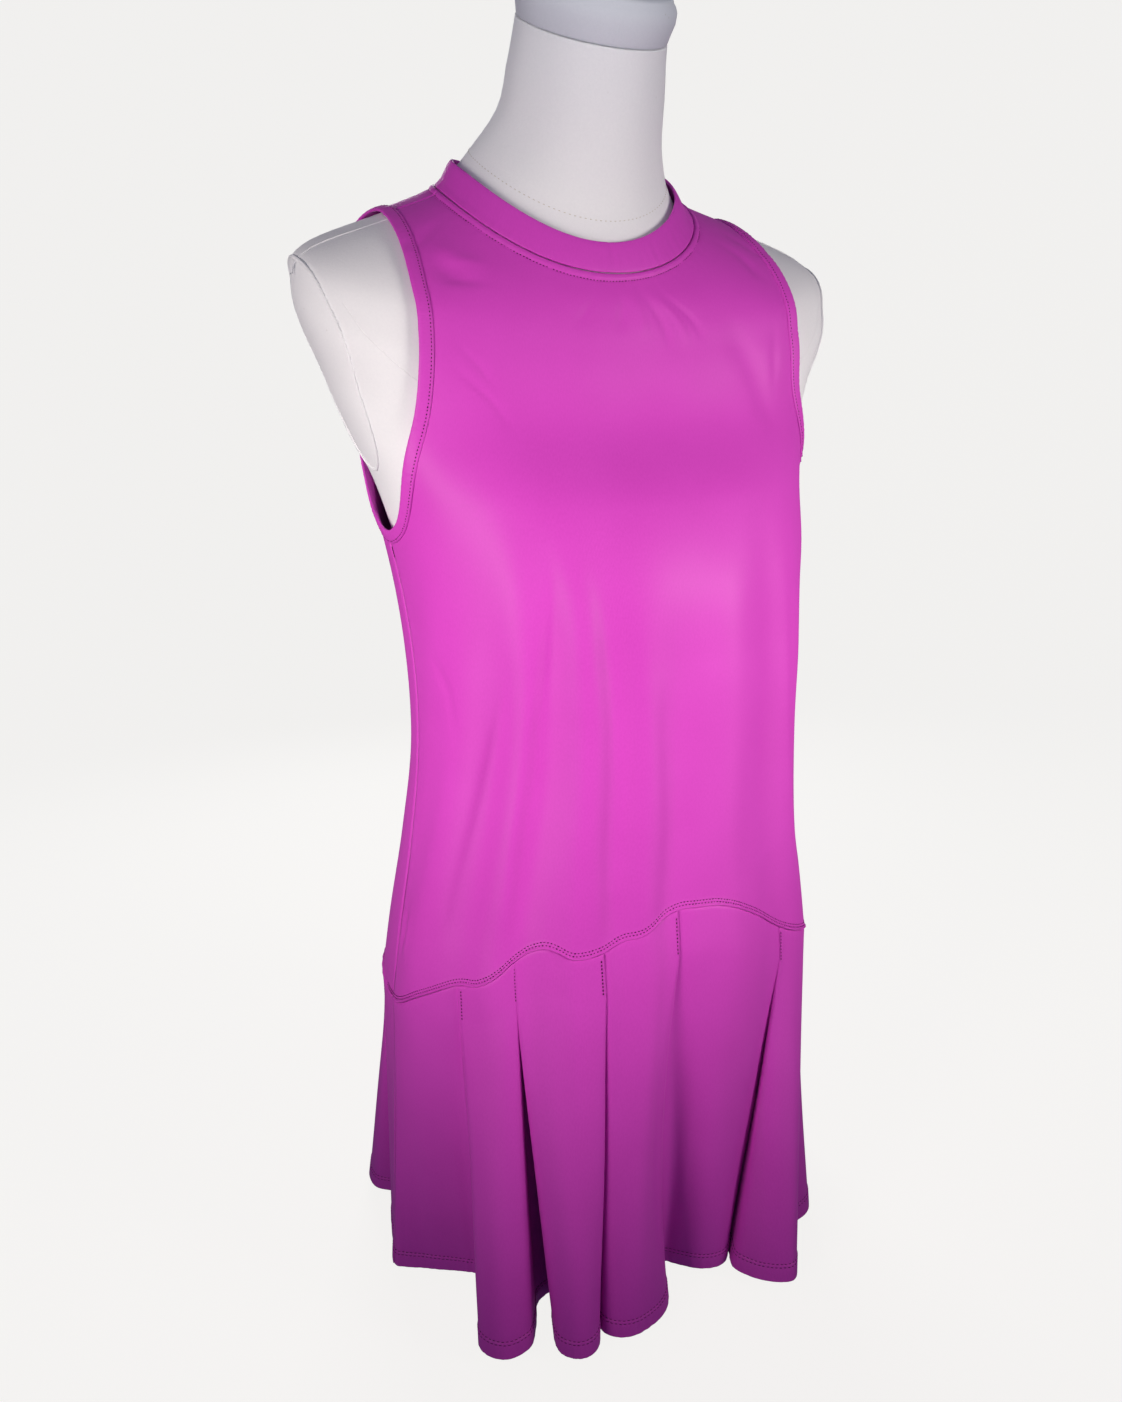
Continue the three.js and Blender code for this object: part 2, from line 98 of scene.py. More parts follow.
NECK_RINGS = table("""
    height  shift  centre  tilt_front  tilt_back  half  front  back  square
    792     -4     12      36          18         66    69     57    2.0
    808     -1.7   1       32.5        25         55.3  57.5   56    2.0
    838     -0.8   -10     28          28         50.3  51     51    2.0
    863     -1.3   -19     26          26         47.2  48.5   48.5  2.0
    883     -0.7   -27     26          26         47    47.5   47.5  2.0
    886     -0.7   -28.5   26          26         43.5  44     44    2.0
""")
WAIST_SEAM = table("""
    angle  height
    -180   246
    -135   239
    -110   233
    -88    230.5
    -73    253
    -60    269.5
    -53    273.5
    -48    281
    -43    293
    -38    301
    -34.5  303
    -31    300.5
    -28    296.5
    -24    295.7
    -19.5  298
    -15    303
    -9     306.5
    -5     313.5
    -1     317.3
    4      316.4
    8      314.8
    13     309.5
    18     301.5
    23     292.8
    29     281.3
    35     270.6
    41     262
    48     255
    58     247
    74     237
    90     231
    110    233
    135    239
    180    246
""")
ARMHOLE = table("""
    height  front  back
    558.5   90     90
    559.5   85.5   86
    562     81     82.5
    567     77     79
    575     73.5   75
    587     69.5   69
    600     65     62.5
    614     60     57
    630     54     52
    648     47.8   47.5
    668     43.4   44
    690     39.2   41
    711     37.6   40
    728     38.7   41
    740     43     45
    749     53.5   54.5
    754.5   63.5   64.5
    757.6   73     74
    759.2   81.5   82
    759.6   90     90
""")

# Long soft folds of the bodice: they start at the top row and run to the seam.
BODICE_FOLDS = table("""
    angle_top  top  angle_low  low  width  depth
    -41        600  -51        300  5.5    2.5
    -33        600  -40.5      300  4.5    -2.5
    -27.5      590  -27        300  4.5    2.5
    -18.5      580  -14.5      300  4.0    -2.0
    -58        560  -78        300  8.0    2.5
    -50        530  -60        300  6.0    -2.0
    -11        540  -10.5      300  4.0    1.5
    -2         540  -2         300  4.0    -1.5
    10         580  13         300  6.0    2.5
    24         600  31         280  7.0    -3.5
    40         560  47         270  7.0    2.5
    54         570  66         260  7.0    -4.0
    120        560  124        240  8.0    -4.0
    150        600  157        240  8.0    -4.5
    180        560  180        240  9.0    3.0
    -122       560  -126       240  8.0    -4.0
    -150       600  -158       240  8.0    -4.5
""")

# Lines of the skirt from the seam to the hem. Lift is how far the line stands off the
# seam's surface, so that the layers of a pleat lie over each other, and sway is how far
# it bows to the left on its way down, both in mm.
PLEATS = table("""
    seam    lift  hem    radius  sway
    -181.2  0.6   -183   172     0
    -180    -1.2  -180   148     0
    -178.8  0.6   -175   170     0
    -170    0     -167   176     0
    -160    0     -157   185     0
    -150    0     -149   181     0
    -143.8  0.6   -145   172     0
    -143    -1.2  -141   148     0
    -142.2  0.6   -138   166     0
    -136    0     -133   172     0
    -126    0     -125   188     0
    -115    0     -117   192     0
    -107    0.6   -110   184     0
    -105    -1.2  -106   158     0
    -103    0.6   -99    172     0
    -97     0     -93    176     0
    -93     0     -88    179     0
    -90     0     -82.5  186     0
    -86     0     -80.2  180     0
    -82     0     -77.6  171     0
    -77     0     -74.4  163     0
    -72     0     -71    155     0
    -67     0     -68    149     0
    -63     -0.4  -65    145     0
    -60.9   -1.2  -60.5  148     0
    -59.9   0.3   -54    172     0
    -59.2   0.5   -52.6  188     0
    -57.5   0.2   -51    197     0
    -54.5   0     -48.8  201     0
    -51     0     -46.6  201     0
    -47.5   0     -44.4  198     0
    -44.6   0.4   -42.3  191     0
    -43.5   0.7   -41.4  183     0
    -43.1   0.3   -42.6  166     0
    -43.5   -1.2  -44.3  150     0
    -42.9   -1.5  -42.4  138     0
    -42.3   -1.2  -39.8  135     0
    -42.7   0.2   -38    155     0
    -42.5   0.7   -36.4  174     0
    -41.2   0.3   -34.9  183.5   0
    -38     0     -33.2  188     0
    -33     0     -30.8  189.5   0
    -28     0     -28.8  187     0
    -23     0.3   -27.2  181     0
    -20.2   0.8   -26.5  173     0
    -19.8   0.2   -27    162     0
    -20.8   -1.2  -28.3  154     0
    -19.8   -1.2  -27.6  154     0
    -19     -0.5  -25.9  161     0
    -17.8   0     -24.4  168     0
    -14     0     -21.4  172     0
    -10     0     -18    171.5   -1
    -6      0     -14.2  167     -4
    -2.8    0.4   -10.4  161     -9
    -1.5    0.8   -7.6   153     -11
    -1.2    0.2   -5.4   140     -9
    -1.9    -1.2  -4.6   126     -4
    -0.6    -1.0  -1.5   115     -1
    1.5     0     1      114     0
    5       0     4.2    123     0
    10      0     8.2    134     0
    16      0     12.6   140     0
    22      0     16.6   141     0
    28      0     20.4   137     0
    33      0     24.5   132     0
    36.2    -0.8  27.5   129     0
    36.6    -1.2  24     133     0
    35.2    -0.6  20.6   141     0
    34.3    0.8   17.2   151     0
    35.5    0.3   17.8   164     0
    38      0     19.4   175     0
    41.5    0     21.6   185     0
    45      0     23.8   190     0
    50      0     27     186     0
    55      0     32     174     0
    60      0     37.5   165     0
    65      0     42     171     0
    69      0     47     177     0
    74      0     54     174     0
    79      0     63     160     0
    84      0     73     160     0
    90      0     82     172     0
    98      0     93     178     0
    104     0.6   101    172     0
    106     -1.2  106    150     0
    108     0.6   110    158     0
    112     0     115    160     0
    118     0     121    174     0
    127     0     129    190     0
    136     0     137    180     0
    142     0.6   141    168     0
    143     -1.2  144    148     0
    144     0.6   147    166     0
    150     0     152    174     0
    160     0     160    186     0
    170     0     170    180     0
""")
SEWN_PLEATS = (-178.8, -142.2, -103, -59.2, -43.1, -20.2, -1.5, 34.3, 108, 144)
RIGHT_SIDE_ROW, LEFT_SIDE_ROW = (list(PLEATS["seam"]).index(angle) for angle in (-90, 90))

# ---- sizes of the making, in millimetres ---------------------------------------------
SEAM_GAP = 0.1
JERSEY_THICK = 1.1  # one layer as it looks; turned edges are thicker
CLOTH_OFFSET = 0.15  # inner face of the cloth off the solid's inner face
BAND_THICK = 2.1
BINDING_WIDTH, BINDING_LIFT = 9.0, 0.9
NECK_SEAM, NECK_EDGE = 771.0, 787.0
UNDERARM, SHOULDER_TOP = 558.5, 759.6
HEM_HEIGHT, HEM_RADIUS, PLEAT_STITCHED = 10.0, 166.0, 0.1
ARM_X, ARM_Z, ARM_LEAN, ARM_LOW, ARM_FLATNESS = 182.0, 712.0, 0.268, 585.0, 0.5
CAP_SEAM, FORM_BOTTOM = 863.0, 178.0
DEGREE_MM = 2.6  # length of one degree round the body
WAIST_TURNING, WAIST_STITCHES = 6.6, (2.9, 5.1)  # above the drop-waist seam
NECK_STITCHES = 5.6  # below the neckband's seam
HEM_STITCHES = (10.2, 12.4)  # above the hem's edge
SEAM_STITCH = 2.2, 1.4, 0.9, 0.7  # pitch, length, width and height, neck and armholes


# ---- curves and surfaces -------------------------------------------------------------
def smooth(rows, key, column, at):
    """Smooth curve through a column: a cubic on each interval, whose slope at a row is the
    mean of the two steps beside it, each weighted by the other interval's length."""
    x, y = rows[key], rows[column]
    gap = np.diff(x)
    step = np.diff(y) / gap
    slope = np.concatenate([
        step[:1], (step[:-1] * gap[1:] + step[1:] * gap[:-1]) / (gap[:-1] + gap[1:]), step[-1:],
    ])
    i = np.searchsorted(x[1:-1], at)
    w, t = gap[i], (at - x[i]) / gap[i]
    t2, t3 = t * t, t ** 3
    return (
        (2 * t3 - 3 * t2 + 1) * y[i] + (t3 - 2 * t2 + t) * w * slope[i]
        + (3 * t2 - 2 * t3) * y[i + 1] + (t3 - t2) * w * slope[i + 1]
    )


def ease(t):
    """0 up to t = 0 and 1 from t = 1, with the smooth cubic step between."""
    u = np.clip(t, 0, 1)
    return u * u * (3 - 2 * u)


def bump(distance, width):
    """A soft bell, 1 at distance 0 and nearly 0 beyond twice the width."""
    return np.exp(-((distance / width) ** 2))


def unit(vectors):
    """Each vector divided by its length."""
    return vectors / np.maximum(np.linalg.norm(vectors, axis=-1, keepdims=True), 1e-12)


def turn(degrees):
    """The same direction between -180 and 180 degrees."""
    return (degrees + 180) % 360 - 180


def ripple(x, y, wave_x, wave_y, seed):
    """Uneven waves from -1 to 1: the mean of five sines whose lengths are near the given
    ones and whose phases come from the seed."""
    draw = np.random.default_rng(seed)
    total = 0
    for _ in range(5):
        kx, ky = draw.uniform(0.6, 1.6) / wave_x, draw.uniform(-1.2, 1.2) / wave_y
        total = total + np.sin(2 * np.pi * (kx * x + ky * y + draw.uniform()))
    return total / 3


def ring_point(rows, angle, height):
    """Point of a ring table: a superellipse, half wide and front or back deep about its
    centre and shift, whose front and back are turned down or up by the two tilts."""
    angle, height = np.broadcast_arrays(np.asarray(angle, float), np.asarray(height, float))
    shift, centre, tilt_front, tilt_back, half, front, back, square = (
        smooth(rows, "height", name, height) for name in list(rows)[1:]
    )
    s, c = np.sin(angle), np.cos(angle)
    along = -np.sign(c) * np.abs(c) ** (2 / square)
    depth = along * np.where(c >= 0, front, back)
    tilt = np.radians((tilt_front * (1 - along) + tilt_back * (1 + along)) / 2)
    side = shift + half * np.sign(s) * np.abs(s) ** (2 / square)
    return np.stack([side, centre + depth * np.cos(tilt), height + depth * np.sin(tilt)], -1)


def cloth_ring(angle, height):
    """The garment's smooth body: a point of CLOTH_RINGS."""
    return ring_point(CLOTH_RINGS, angle, height)


def cloth_normal(angle, height):
    """Outward normal of the body: its step round crossed with its step up."""
    across = cloth_ring(angle + 0.02, height) - cloth_ring(angle - 0.02, height)
    rise = cloth_ring(angle, height + 1.5) - cloth_ring(angle, height - 1.5)
    return unit(np.cross(across, rise))


def fold_depth(angle, height):
    """How far the long folds move the bodice: each is a bell across its line that grows
    from its top over the first third of its run."""
    total = 0
    for f in zip(*BODICE_FOLDS.values()):
        angle_top, top, angle_low, low, width, depth = f
        run = (top - height) / (top - low)
        line = angle_top + (angle_low - angle_top) * np.clip(run, 0, 1)
        off = turn(np.degrees(angle) - line)
        total = total + depth * ease(run / 0.35) * bump(off, width)
    return total


def line_places(angle, height, path):
    """How far each point lies from a line of (degrees, height), positive on its left-hand
    side as the wearer has it, and the share of the line's length where it is nearest."""
    x, y = np.broadcast_arrays(np.degrees(angle), height)
    path = np.array(path, float)
    legs = np.diff(path, axis=0) * (DEGREE_MM, 1)
    lengths = np.linalg.norm(legs, axis=1)
    starts = np.concatenate([[0], np.cumsum(lengths)[:-1]])
    best, place = np.full(x.shape, 1e9), np.zeros(x.shape)
    for (a, h), leg, length, start in zip(path, legs, lengths, starts):
        dx, dy = turn(x - a) * DEGREE_MM, y - h
        t = np.clip((dx * leg[0] + dy * leg[1]) / length ** 2, 0, 1)
        gap = np.hypot(dx - t * leg[0], dy - t * leg[1])
        nearer = gap < np.abs(best)
        side = np.where(leg[0] * dy - leg[1] * dx > 0, 1, -1)
        best = np.where(nearer, gap * side, best)
        place = np.where(nearer, start + t * length, place)
    return best, place / lengths.sum()


def strokes(angle, height, lines):
    """Creases drawn as lines: each is a bell of its width across the line and fades at both
    ends over the share of its length that fade gives."""
    total = 0
    for width, depth, fade, path in lines:
        gap, share = line_places(angle, height, path)
        total = total + depth * bump(gap, width) * ease(share / fade) * ease((1 - share) / fade)
    return total


def steps(angle, height, lines):
    """Steep sides of folds: across each line the cloth drops by its depth, as a hyperbolic
    tangent of its width, and comes back slowly on both sides."""
    total = 0
    for width, depth, fade, path in lines:
        gap, share = line_places(angle, height, path)
        fall = -np.tanh(gap / width) * bump(gap, 5 * width) / 2
        total = total + depth * fall * ease(share / fade) * ease((1 - share) / 0.12)
    return total


# Creases: width and depth in mm, share of the length that fades, line.
BODICE_CREASES = [
    (3.0, -1.0, 0.4, [(-36, 700), (-31, 676), (-27, 640)]),
    (2.2, -0.9, 0.45, [(-34, 716), (-29, 696), (-27, 672)]),
    (2.0, 0.6, 0.45, [(-37, 690), (-32, 672), (-29, 650)]),
    (9.0, -1.6, 0.45, [(20, 750), (22, 714), (30, 670), (38, 622)]),
    (4.0, -0.8, 0.45, [(34, 730), (32, 700), (36, 660)]),
    (3.0, -1.5, 0.45, [(-58, 756), (-44, 750), (-34, 752)]),
    (3.0, 1.3, 0.45, [(-64, 760), (-52, 756), (-40, 758)]),
    (2.2, -0.7, 0.45, [(-74, 764), (-66, 758), (-60, 750)]),
    (2.4, -0.8, 0.45, [(62, 765), (54, 757), (44, 749)]),
    (2.4, -0.6, 0.45, [(74, 764), (66, 758), (60, 752)]),
    (2.2, -1.5, 0.4, [(-86, 312), (-86.5, 292), (-87, 268)]),
    (2.6, 0.9, 0.4, [(-83, 310), (-83.5, 290), (-84, 266)]),
    (5.0, -1.0, 0.45, [(-80, 500), (-70, 470), (-66, 430)]),
    (1.6, -0.9, 0.4, [(-1.5, 763), (-2.2, 726)]),
    (1.6, 0.8, 0.4, [(1.6, 764), (1.5, 722)]),
    (1.7, -1.0, 0.4, [(4.6, 764), (6.2, 712)]),
    (1.7, 0.8, 0.4, [(7.8, 764), (9.8, 714)]),
    (1.8, -0.8, 0.4, [(11, 764), (13.4, 716)]),
    (2.0, -0.6, 0.4, [(-9, 764), (-10, 730)]),
    (5.0, -1.0, 0.4, [(84, 520), (72, 480), (64, 430)]),
    (4.5, -1.2, 0.4, [(152, 730), (150, 660), (156, 600)]),
    (5.0, -1.4, 0.4, [(-150, 726), (-148, 650), (-156, 590)]),
    (8.0, -1.8, 0.4, [(180, 620), (178, 540), (181, 460)]),
    (6.0, -1.4, 0.4, [(112, 540), (126, 480), (134, 420)]),
    (6.0, -1.4, 0.4, [(-110, 540), (-124, 486), (-136, 430)]),
    (5.0, 1.0, 0.4, [(140, 520), (144, 420), (147, 320)]),
    (5.0, 1.0, 0.4, [(-140, 520), (-142, 420), (-146, 320)]),
]

# Steep sides of the long folds under the bust, in the same columns. A positive depth
# drops towards the wearer's left.
BODICE_STEPS = [
    (3.4, 3.4, 0.3, [(-31, 585), (-33, 549), (-36, 517), (-41, 451), (-44, 383), (-45, 300)]),
    (3.4, 3.2, 0.3, [(-23, 570), (-22, 517), (-21, 450), (-21, 382), (-19, 296)]),
    (4.6, 2.4, 0.4, [(-46, 515), (-50, 484), (-58, 415), (-65, 343), (-68, 290)]),
    (3.8, 2.6, 0.4, [(-7, 500), (-7, 447), (-5, 377), (-6, 300)]),
    (4.6, 2.2, 0.4, [(34, 560), (37, 480), (42, 400), (48, 300)]),
    (5.0, 1.8, 0.4, [(-118, 540), (-124, 460), (-130, 380), (-134, 290)]),
    (5.0, -1.8, 0.4, [(116, 540), (122, 460), (128, 380), (132, 290)]),
]


def seam_height(angle):
    """Height of the drop-waist seam on the body at an angle."""
    return smooth(WAIST_SEAM, "angle", "height", turn(np.degrees(angle)))


def neck_speed(angle):
    """Millimetres of cloth for each millimetre of ring height just below the neck seam."""
    step = cloth_ring(angle, NECK_SEAM) - cloth_ring(angle, NECK_SEAM - 6)
    return np.linalg.norm(step, axis=-1) / 6


def bodice_inner(angle, height):
    """Inner face of the bodice: the smooth body moved out by its folds and creases."""
    out = fold_depth(angle, height) + strokes(angle, height, BODICE_CREASES)
    out = out + steps(angle, height, BODICE_STEPS)
    girth, up = np.degrees(angle) * DEGREE_MM, height
    out = out + 0.35 * ripple(girth, up, 60, 140, 3) * ease((SHOULDER_TOP - height) / 30)
    return cloth_ring(angle, height) + cloth_normal(angle, height) * (out + CLOTH_OFFSET)[..., None]


def bodice_relief(angle, height):
    """What the seams add to the cloth's outer face: the turning and the rolled edge of the
    drop-waist seam, the strip under the neckband, and the dents of the side seams."""
    girth = np.degrees(angle) * DEGREE_MM
    above = height - seam_height(angle)
    pucker = ripple(girth, above, 7, 30, 11)
    waist = (
        0.4 * ease((WAIST_TURNING - above) / 1.2) + 0.95 * bump(above - 1.2, 0.85)
        - 0.4 * bump(above - WAIST_STITCHES[0], 0.5) - 0.4 * bump(above - WAIST_STITCHES[1], 0.5)
        - 0.6 * bump(above, 0.5) + 0.22 * pucker * ease((16 - above) / 14)
    )
    below = (NECK_SEAM - height) * neck_speed(angle)
    tuck = ripple(girth, below, 5, 30, 12)
    neck = (
        1.15 * np.clip(1 - ((below - 2.9) / 2.7) ** 2, 0, 1) ** 0.7 - 0.9 * bump(below, 0.7)
        - 0.35 * bump(below - 5.7, 0.6) + 0.16 * tuck * ease((18 - below) / 14)
    )
    off = np.abs(np.abs(turn(np.degrees(angle))) - 90) * DEGREE_MM
    seam = ease((height - 240) / 20)
    side = seam * (0.25 * ease((6 - off) / 2) - 0.55 * bump(off, 0.7))
    return waist + neck + side


# ---- meshes --------------------------------------------------------------------------
def make_mesh(name, points, face_sets, uv=None, smooth_faces=True):
    """A mesh from points in mm and arrays of corners; uv gives one pair a corner, in mm."""
    mesh = bpy.data.meshes.new(name)
    corners = np.concatenate([faces.ravel() for faces in face_sets]).astype(np.int32)
    sizes = np.concatenate([np.full(len(faces), faces.shape[1]) for faces in face_sets])
    mesh.vertices.add(len(points))
    mesh.vertices.foreach_set("co", (np.asarray(points, float) * MM).astype(np.float32).ravel())
    mesh.loops.add(len(corners))
    mesh.loops.foreach_set("vertex_index", corners)
    mesh.polygons.add(len(sizes))
    starts = np.concatenate([[0], np.cumsum(sizes)[:-1]]).astype(np.int32)
    mesh.polygons.foreach_set("loop_start", starts)
    mesh.update(calc_edges=True)
    if uv is not None:
        layer = mesh.uv_layers.new(name="cloth")
        layer.data.foreach_set("uv", (uv * MM).astype(np.float32).ravel())
    mesh.polygons.foreach_set("use_smooth", np.full(len(sizes), smooth_faces))
    mesh.validate()
    piece = bpy.data.objects.new(name, mesh)
    bpy.context.scene.collection.objects.link(piece)
    return piece


def grid_faces(rows, columns, wrap=False):
    """Quads of a grid whose rows go up and whose columns go round, and each corner's own
    row and column, which run on past the last column where the grid is closed."""
    j, i = np.meshgrid(np.arange(rows - 1), np.arange(columns - (not wrap)), indexing="ij")
    row = np.stack([j, j, j + 1, j + 1], -1).reshape(-1, 4)
    column = np.stack([i, i + 1, i + 1, i], -1).reshape(-1, 4)
    return row * columns + column % columns, row, column


def arc(points, axis):
    """Length run along an axis of a grid of points, from 0."""
    steps = np.linalg.norm(np.diff(points, axis=axis), axis=-1)
    zero = np.zeros_like(np.take(steps, [0], axis=axis))
    return np.cumsum(np.concatenate([zero, steps], axis), axis)


def shell(name, inner, outer, wrap=False):
    """A closed shell of cloth between two grids, with its rims. The UV map is the run in
    mm along the middle row and up each column, so that the knit follows the cloth."""
    rows, columns = inner.shape[:2]
    size = rows * columns
    quads, row, column = grid_faces(rows, columns, wrap)
    middle = outer[rows // 2]
    if wrap:
        middle = np.concatenate([middle, middle[:1]])
    across = arc(middle, 0)
    up = arc(outer, 0).mean(1)
    flat = np.stack([across[column], up[row]], -1)
    faces, uvs = [quads, quads[:, ::-1] + size], [flat, flat[:, ::-1]]
    i = np.arange(columns - (not wrap))
    k = (i + 1) % columns
    for start, flip in ((0, False), (size - columns, True)):
        rim = np.stack([start + size + i, start + size + k, start + k, start + i], -1)
        faces.append(rim[:, ::-1] if flip else rim)
        height = up[0] if start == 0 else up[-1]
        pair = np.stack([across[i], across[i + 1], across[i + 1], across[i]], -1)
        rim_uv = np.stack([pair, np.full_like(pair, height)], -1)
        uvs.append(rim_uv[:, ::-1] if flip else rim_uv)
    if not wrap:
        j = np.arange(rows - 1) * columns
        for edge, flip in ((0, False), (columns - 1, True)):
            a = j + edge
            rim = np.stack([a, a + columns, a + columns + size, a + size], -1)
            faces.append(rim[:, ::-1] if flip else rim)
            place = np.stack([up[:-1], up[1:], up[1:], up[:-1]], -1)
            rim_uv = np.stack([np.full_like(place, across[edge]), place], -1)
            uvs.append(rim_uv[:, ::-1] if flip else rim_uv)
    points = np.concatenate([outer.reshape(-1, 3), inner.reshape(-1, 3)])
    uv = np.concatenate([u.reshape(-1, 2) for u in uvs])
    return make_mesh(name, points, faces, uv)


def closed_stack(name, rings):
    """A closed body from rings of points, bottom to top, with a fan over each end."""
    count, wide = rings.shape[:2]
    quads = grid_faces(count, wide, True)[0]
    points = np.concatenate([rings.reshape(-1, 3), rings[:1].mean(1), rings[-1:].mean(1)])
    i = np.arange(wide)
    k = (i + 1) % wide
    low = np.stack([k, i, np.full(wide, count * wide)], -1)
    last = (count - 1) * wide
    high = np.stack([last + i, last + k, np.full(wide, count * wide + 1)], -1)
    return make_mesh(name, points, [quads, np.concatenate([low, high])])


def spread(weights, count):
    """Places along a row of steps, as fractions of an index, so that each holds the same
    share of the weights."""
    run = np.concatenate([[0], np.cumsum(weights)])
    return np.interp(np.linspace(0, run[-1], count), run, np.arange(len(run)))


def frame_along(points, closed):
    """Unit direction along a line of points."""
    if closed:
        return unit(np.roll(points, -1, 0) - np.roll(points, 1, 0))
    return unit(np.gradient(points, axis=0))


def evenly(points, normals, pitch, closed=False, margin=0.0):
    """Points, directions and normals every pitch mm along a line of points."""
    if closed:
        points = np.concatenate([points, points[:1]])
        normals = np.concatenate([normals, normals[:1]])
    run = arc(points, 0)
    count = max(int(round((run[-1] - 2 * margin) / pitch)), 1)
    at = margin + (np.arange(count) + 0.5) * (run[-1] - 2 * margin) / count
    pick = lambda values: np.stack([np.interp(at, run, values[:, k]) for k in range(3)], -1)
    return pick(points), unit(pick(frame_along(points, False))), unit(pick(normals))


def stitches(name, places, length, width, height):
    """Small thread lozenges: two tips along the line and two rings of four points between
    them, as wide and high as given."""
    at, way, up = (np.concatenate(parts) for parts in zip(*places))
    side = unit(np.cross(way, up))
    shape = [(-1, 0, 0), (1, 0, 0)]
    for x in (-0.5, 0.5):
        shape += [(x, 1, 0), (x, 0, 1), (x, -1, 0), (x, 0, -1)]
    shape = np.array(shape, float) * (length / 2, width / 2, height / 2)
    points = at[:, None] + sum(
        shape[None, :, k, None] * axis[:, None] for k, axis in enumerate((way, side, up))
    )
    start = (np.arange(len(at)) * len(shape))[:, None, None]
    tips = np.array([(0, 2 + (k + 1) % 4, 2 + k) for k in range(4)]
                    + [(1, 6 + k, 6 + (k + 1) % 4) for k in range(4)])
    sides = np.array([(2 + k, 2 + (k + 1) % 4, 6 + (k + 1) % 4, 6 + k) for k in range(4)])
    return make_mesh(
        name, points.reshape(-1, 3),
        [(tips[None] + start).reshape(-1, 3), (sides[None] + start).reshape(-1, 4)],
    )


def tube(points, radius, closed=False, around=8):
    """Points and quads of a round cord along a line, each ring square to the line."""
    way = frame_along(points, closed)
    side = unit(np.cross(way, (0.12, 0.3, 0.95)))
    up = np.cross(side, way)
    turnings = np.linspace(0, 2 * np.pi, around, endpoint=False)
    ring = np.cos(turnings)[None, :, None] * side[:, None] + np.sin(turnings)[None, :, None] * up[:, None]
    count = len(points)
    grid = points[:, None] + ring * radius
    j = np.arange(count - (not closed))[:, None]
    i = np.arange(around)[None]
    a, b = j * around, (j + 1) % count * around
    quads = np.stack([a + i, a + (i + 1) % around, b + (i + 1) % around, b + i], -1)
    return grid.reshape(-1, 3), quads.reshape(-1, 4)


def joined(name, parts):
    """One mesh from several (points, quads) pairs."""
    points, faces, start = [], [], 0
    for these, quads in parts:
        points.append(these)
        faces.append(quads + start)
        start += len(these)
    return make_mesh(name, np.concatenate(points), [np.concatenate(faces)])


# ---- colours and materials -----------------------------------------------------------
def linear(hex_colour):
    """Linear red, green, blue and 1 from an sRGB hex colour such as "#CE42B6"."""
    values = [int(hex_colour[i : i + 2], 16) / 255 for i in (1, 3, 5)]
    return [v / 12.92 if v <= 0.04045 else ((v + 0.055) / 1.055) ** 2.4 for v in values] + [1.0]


def add(tree, kind, settings=(), **inputs):
    """Adds a node: settings are its own fields. Inputs are values or sockets, each by its
    name with _ for a space, or by i and its number where names repeat."""
    node = tree.nodes.new(kind)
    for name, value in dict(settings).items():
        setattr(node, name, value)
    for name, value in inputs.items():
        key = int(name[1:]) if name[0] == "i" and name[1:].isdigit() else name.replace("_", " ")
        socket = node.inputs[key]
        if isinstance(value, bpy.types.NodeSocket):
            tree.links.new(value, socket)
        else:
            socket.default_value = value
    return node


def new_material(name):
    """An empty node material with its output, and its tree."""
    material = bpy.data.materials.new(name)
    material.use_nodes = True
    material.node_tree.nodes.clear()
    return material, material.node_tree


def finish_material(tree, shader):
    """Links the shader to a new output."""
    add(tree, "ShaderNodeOutputMaterial", Surface=shader.outputs[0])


def knit_jersey(name, colour, shade, roughness, sheen):
    """Knitted jersey: wales 0.9 mm apart up the cloth and a fine uneven grain, drawn from
    the UV map in metres, with a soft unevenness of dye and a felted surface."""
    material, tree = new_material(name)
    uv = add(tree, "ShaderNodeUVMap", {"uv_map": "cloth"}).outputs[0]
    spot = add(tree, "ShaderNodeTexCoord").outputs["Object"]
    # a band is 0.314 / scale wide: 0.9 mm, the finest that shows, where jersey's are 0.4 mm
    wales = add(
        tree, "ShaderNodeTexWave", {"wave_type": "BANDS", "bands_direction": "X"},
        Vector=uv, Scale=350.0, Distortion=1.6, Detail=2.0, Detail_Scale=1.4,
    ).outputs["Fac"]
    stretched = add(tree, "ShaderNodeMapping", Vector=uv, Scale=(1.0, 0.45, 1.0)).outputs[0]
    grain = add(tree, "ShaderNodeTexNoise", Vector=stretched, Scale=900.0, Detail=3.0).outputs["Fac"]
    dye = add(tree, "ShaderNodeTexNoise", Vector=spot, Scale=14.0, Detail=3.0).outputs["Fac"]
    tone = add(tree, "ShaderNodeMath", {"operation": "MULTIPLY_ADD"}, i0=grain, i1=0.5, i2=0.0).outputs[0]
    tone = add(tree, "ShaderNodeMath", {"operation": "MULTIPLY_ADD"}, i0=dye, i1=0.5, i2=tone).outputs[0]
    base = add(
        tree, "ShaderNodeMix", {"data_type": "RGBA"}, i0=tone, i6=linear(shade), i7=linear(colour),
    ).outputs[2]
    rough = add(
        tree, "ShaderNodeMapRange", Value=grain, i3=roughness - 0.06, i4=roughness + 0.06,
    ).outputs[0]
    height = add(tree, "ShaderNodeMath", {"operation": "MULTIPLY_ADD"}, i0=wales, i1=0.5, i2=grain)
    felt = add(
        tree, "ShaderNodeBump", Strength=0.16, Distance=0.00025, Height=height.outputs[0],
    ).outputs[0]
    shader = add(
        tree, "ShaderNodeBsdfPrincipled", Base_Color=base, Roughness=rough, Normal=felt,
        Specular_IOR_Level=0.22, IOR=1.5, Sheen_Weight=sheen, Sheen_Roughness=0.4,
        Sheen_Tint=linear("#F7A6E6"),
    )
    finish_material(tree, shader)
    return material


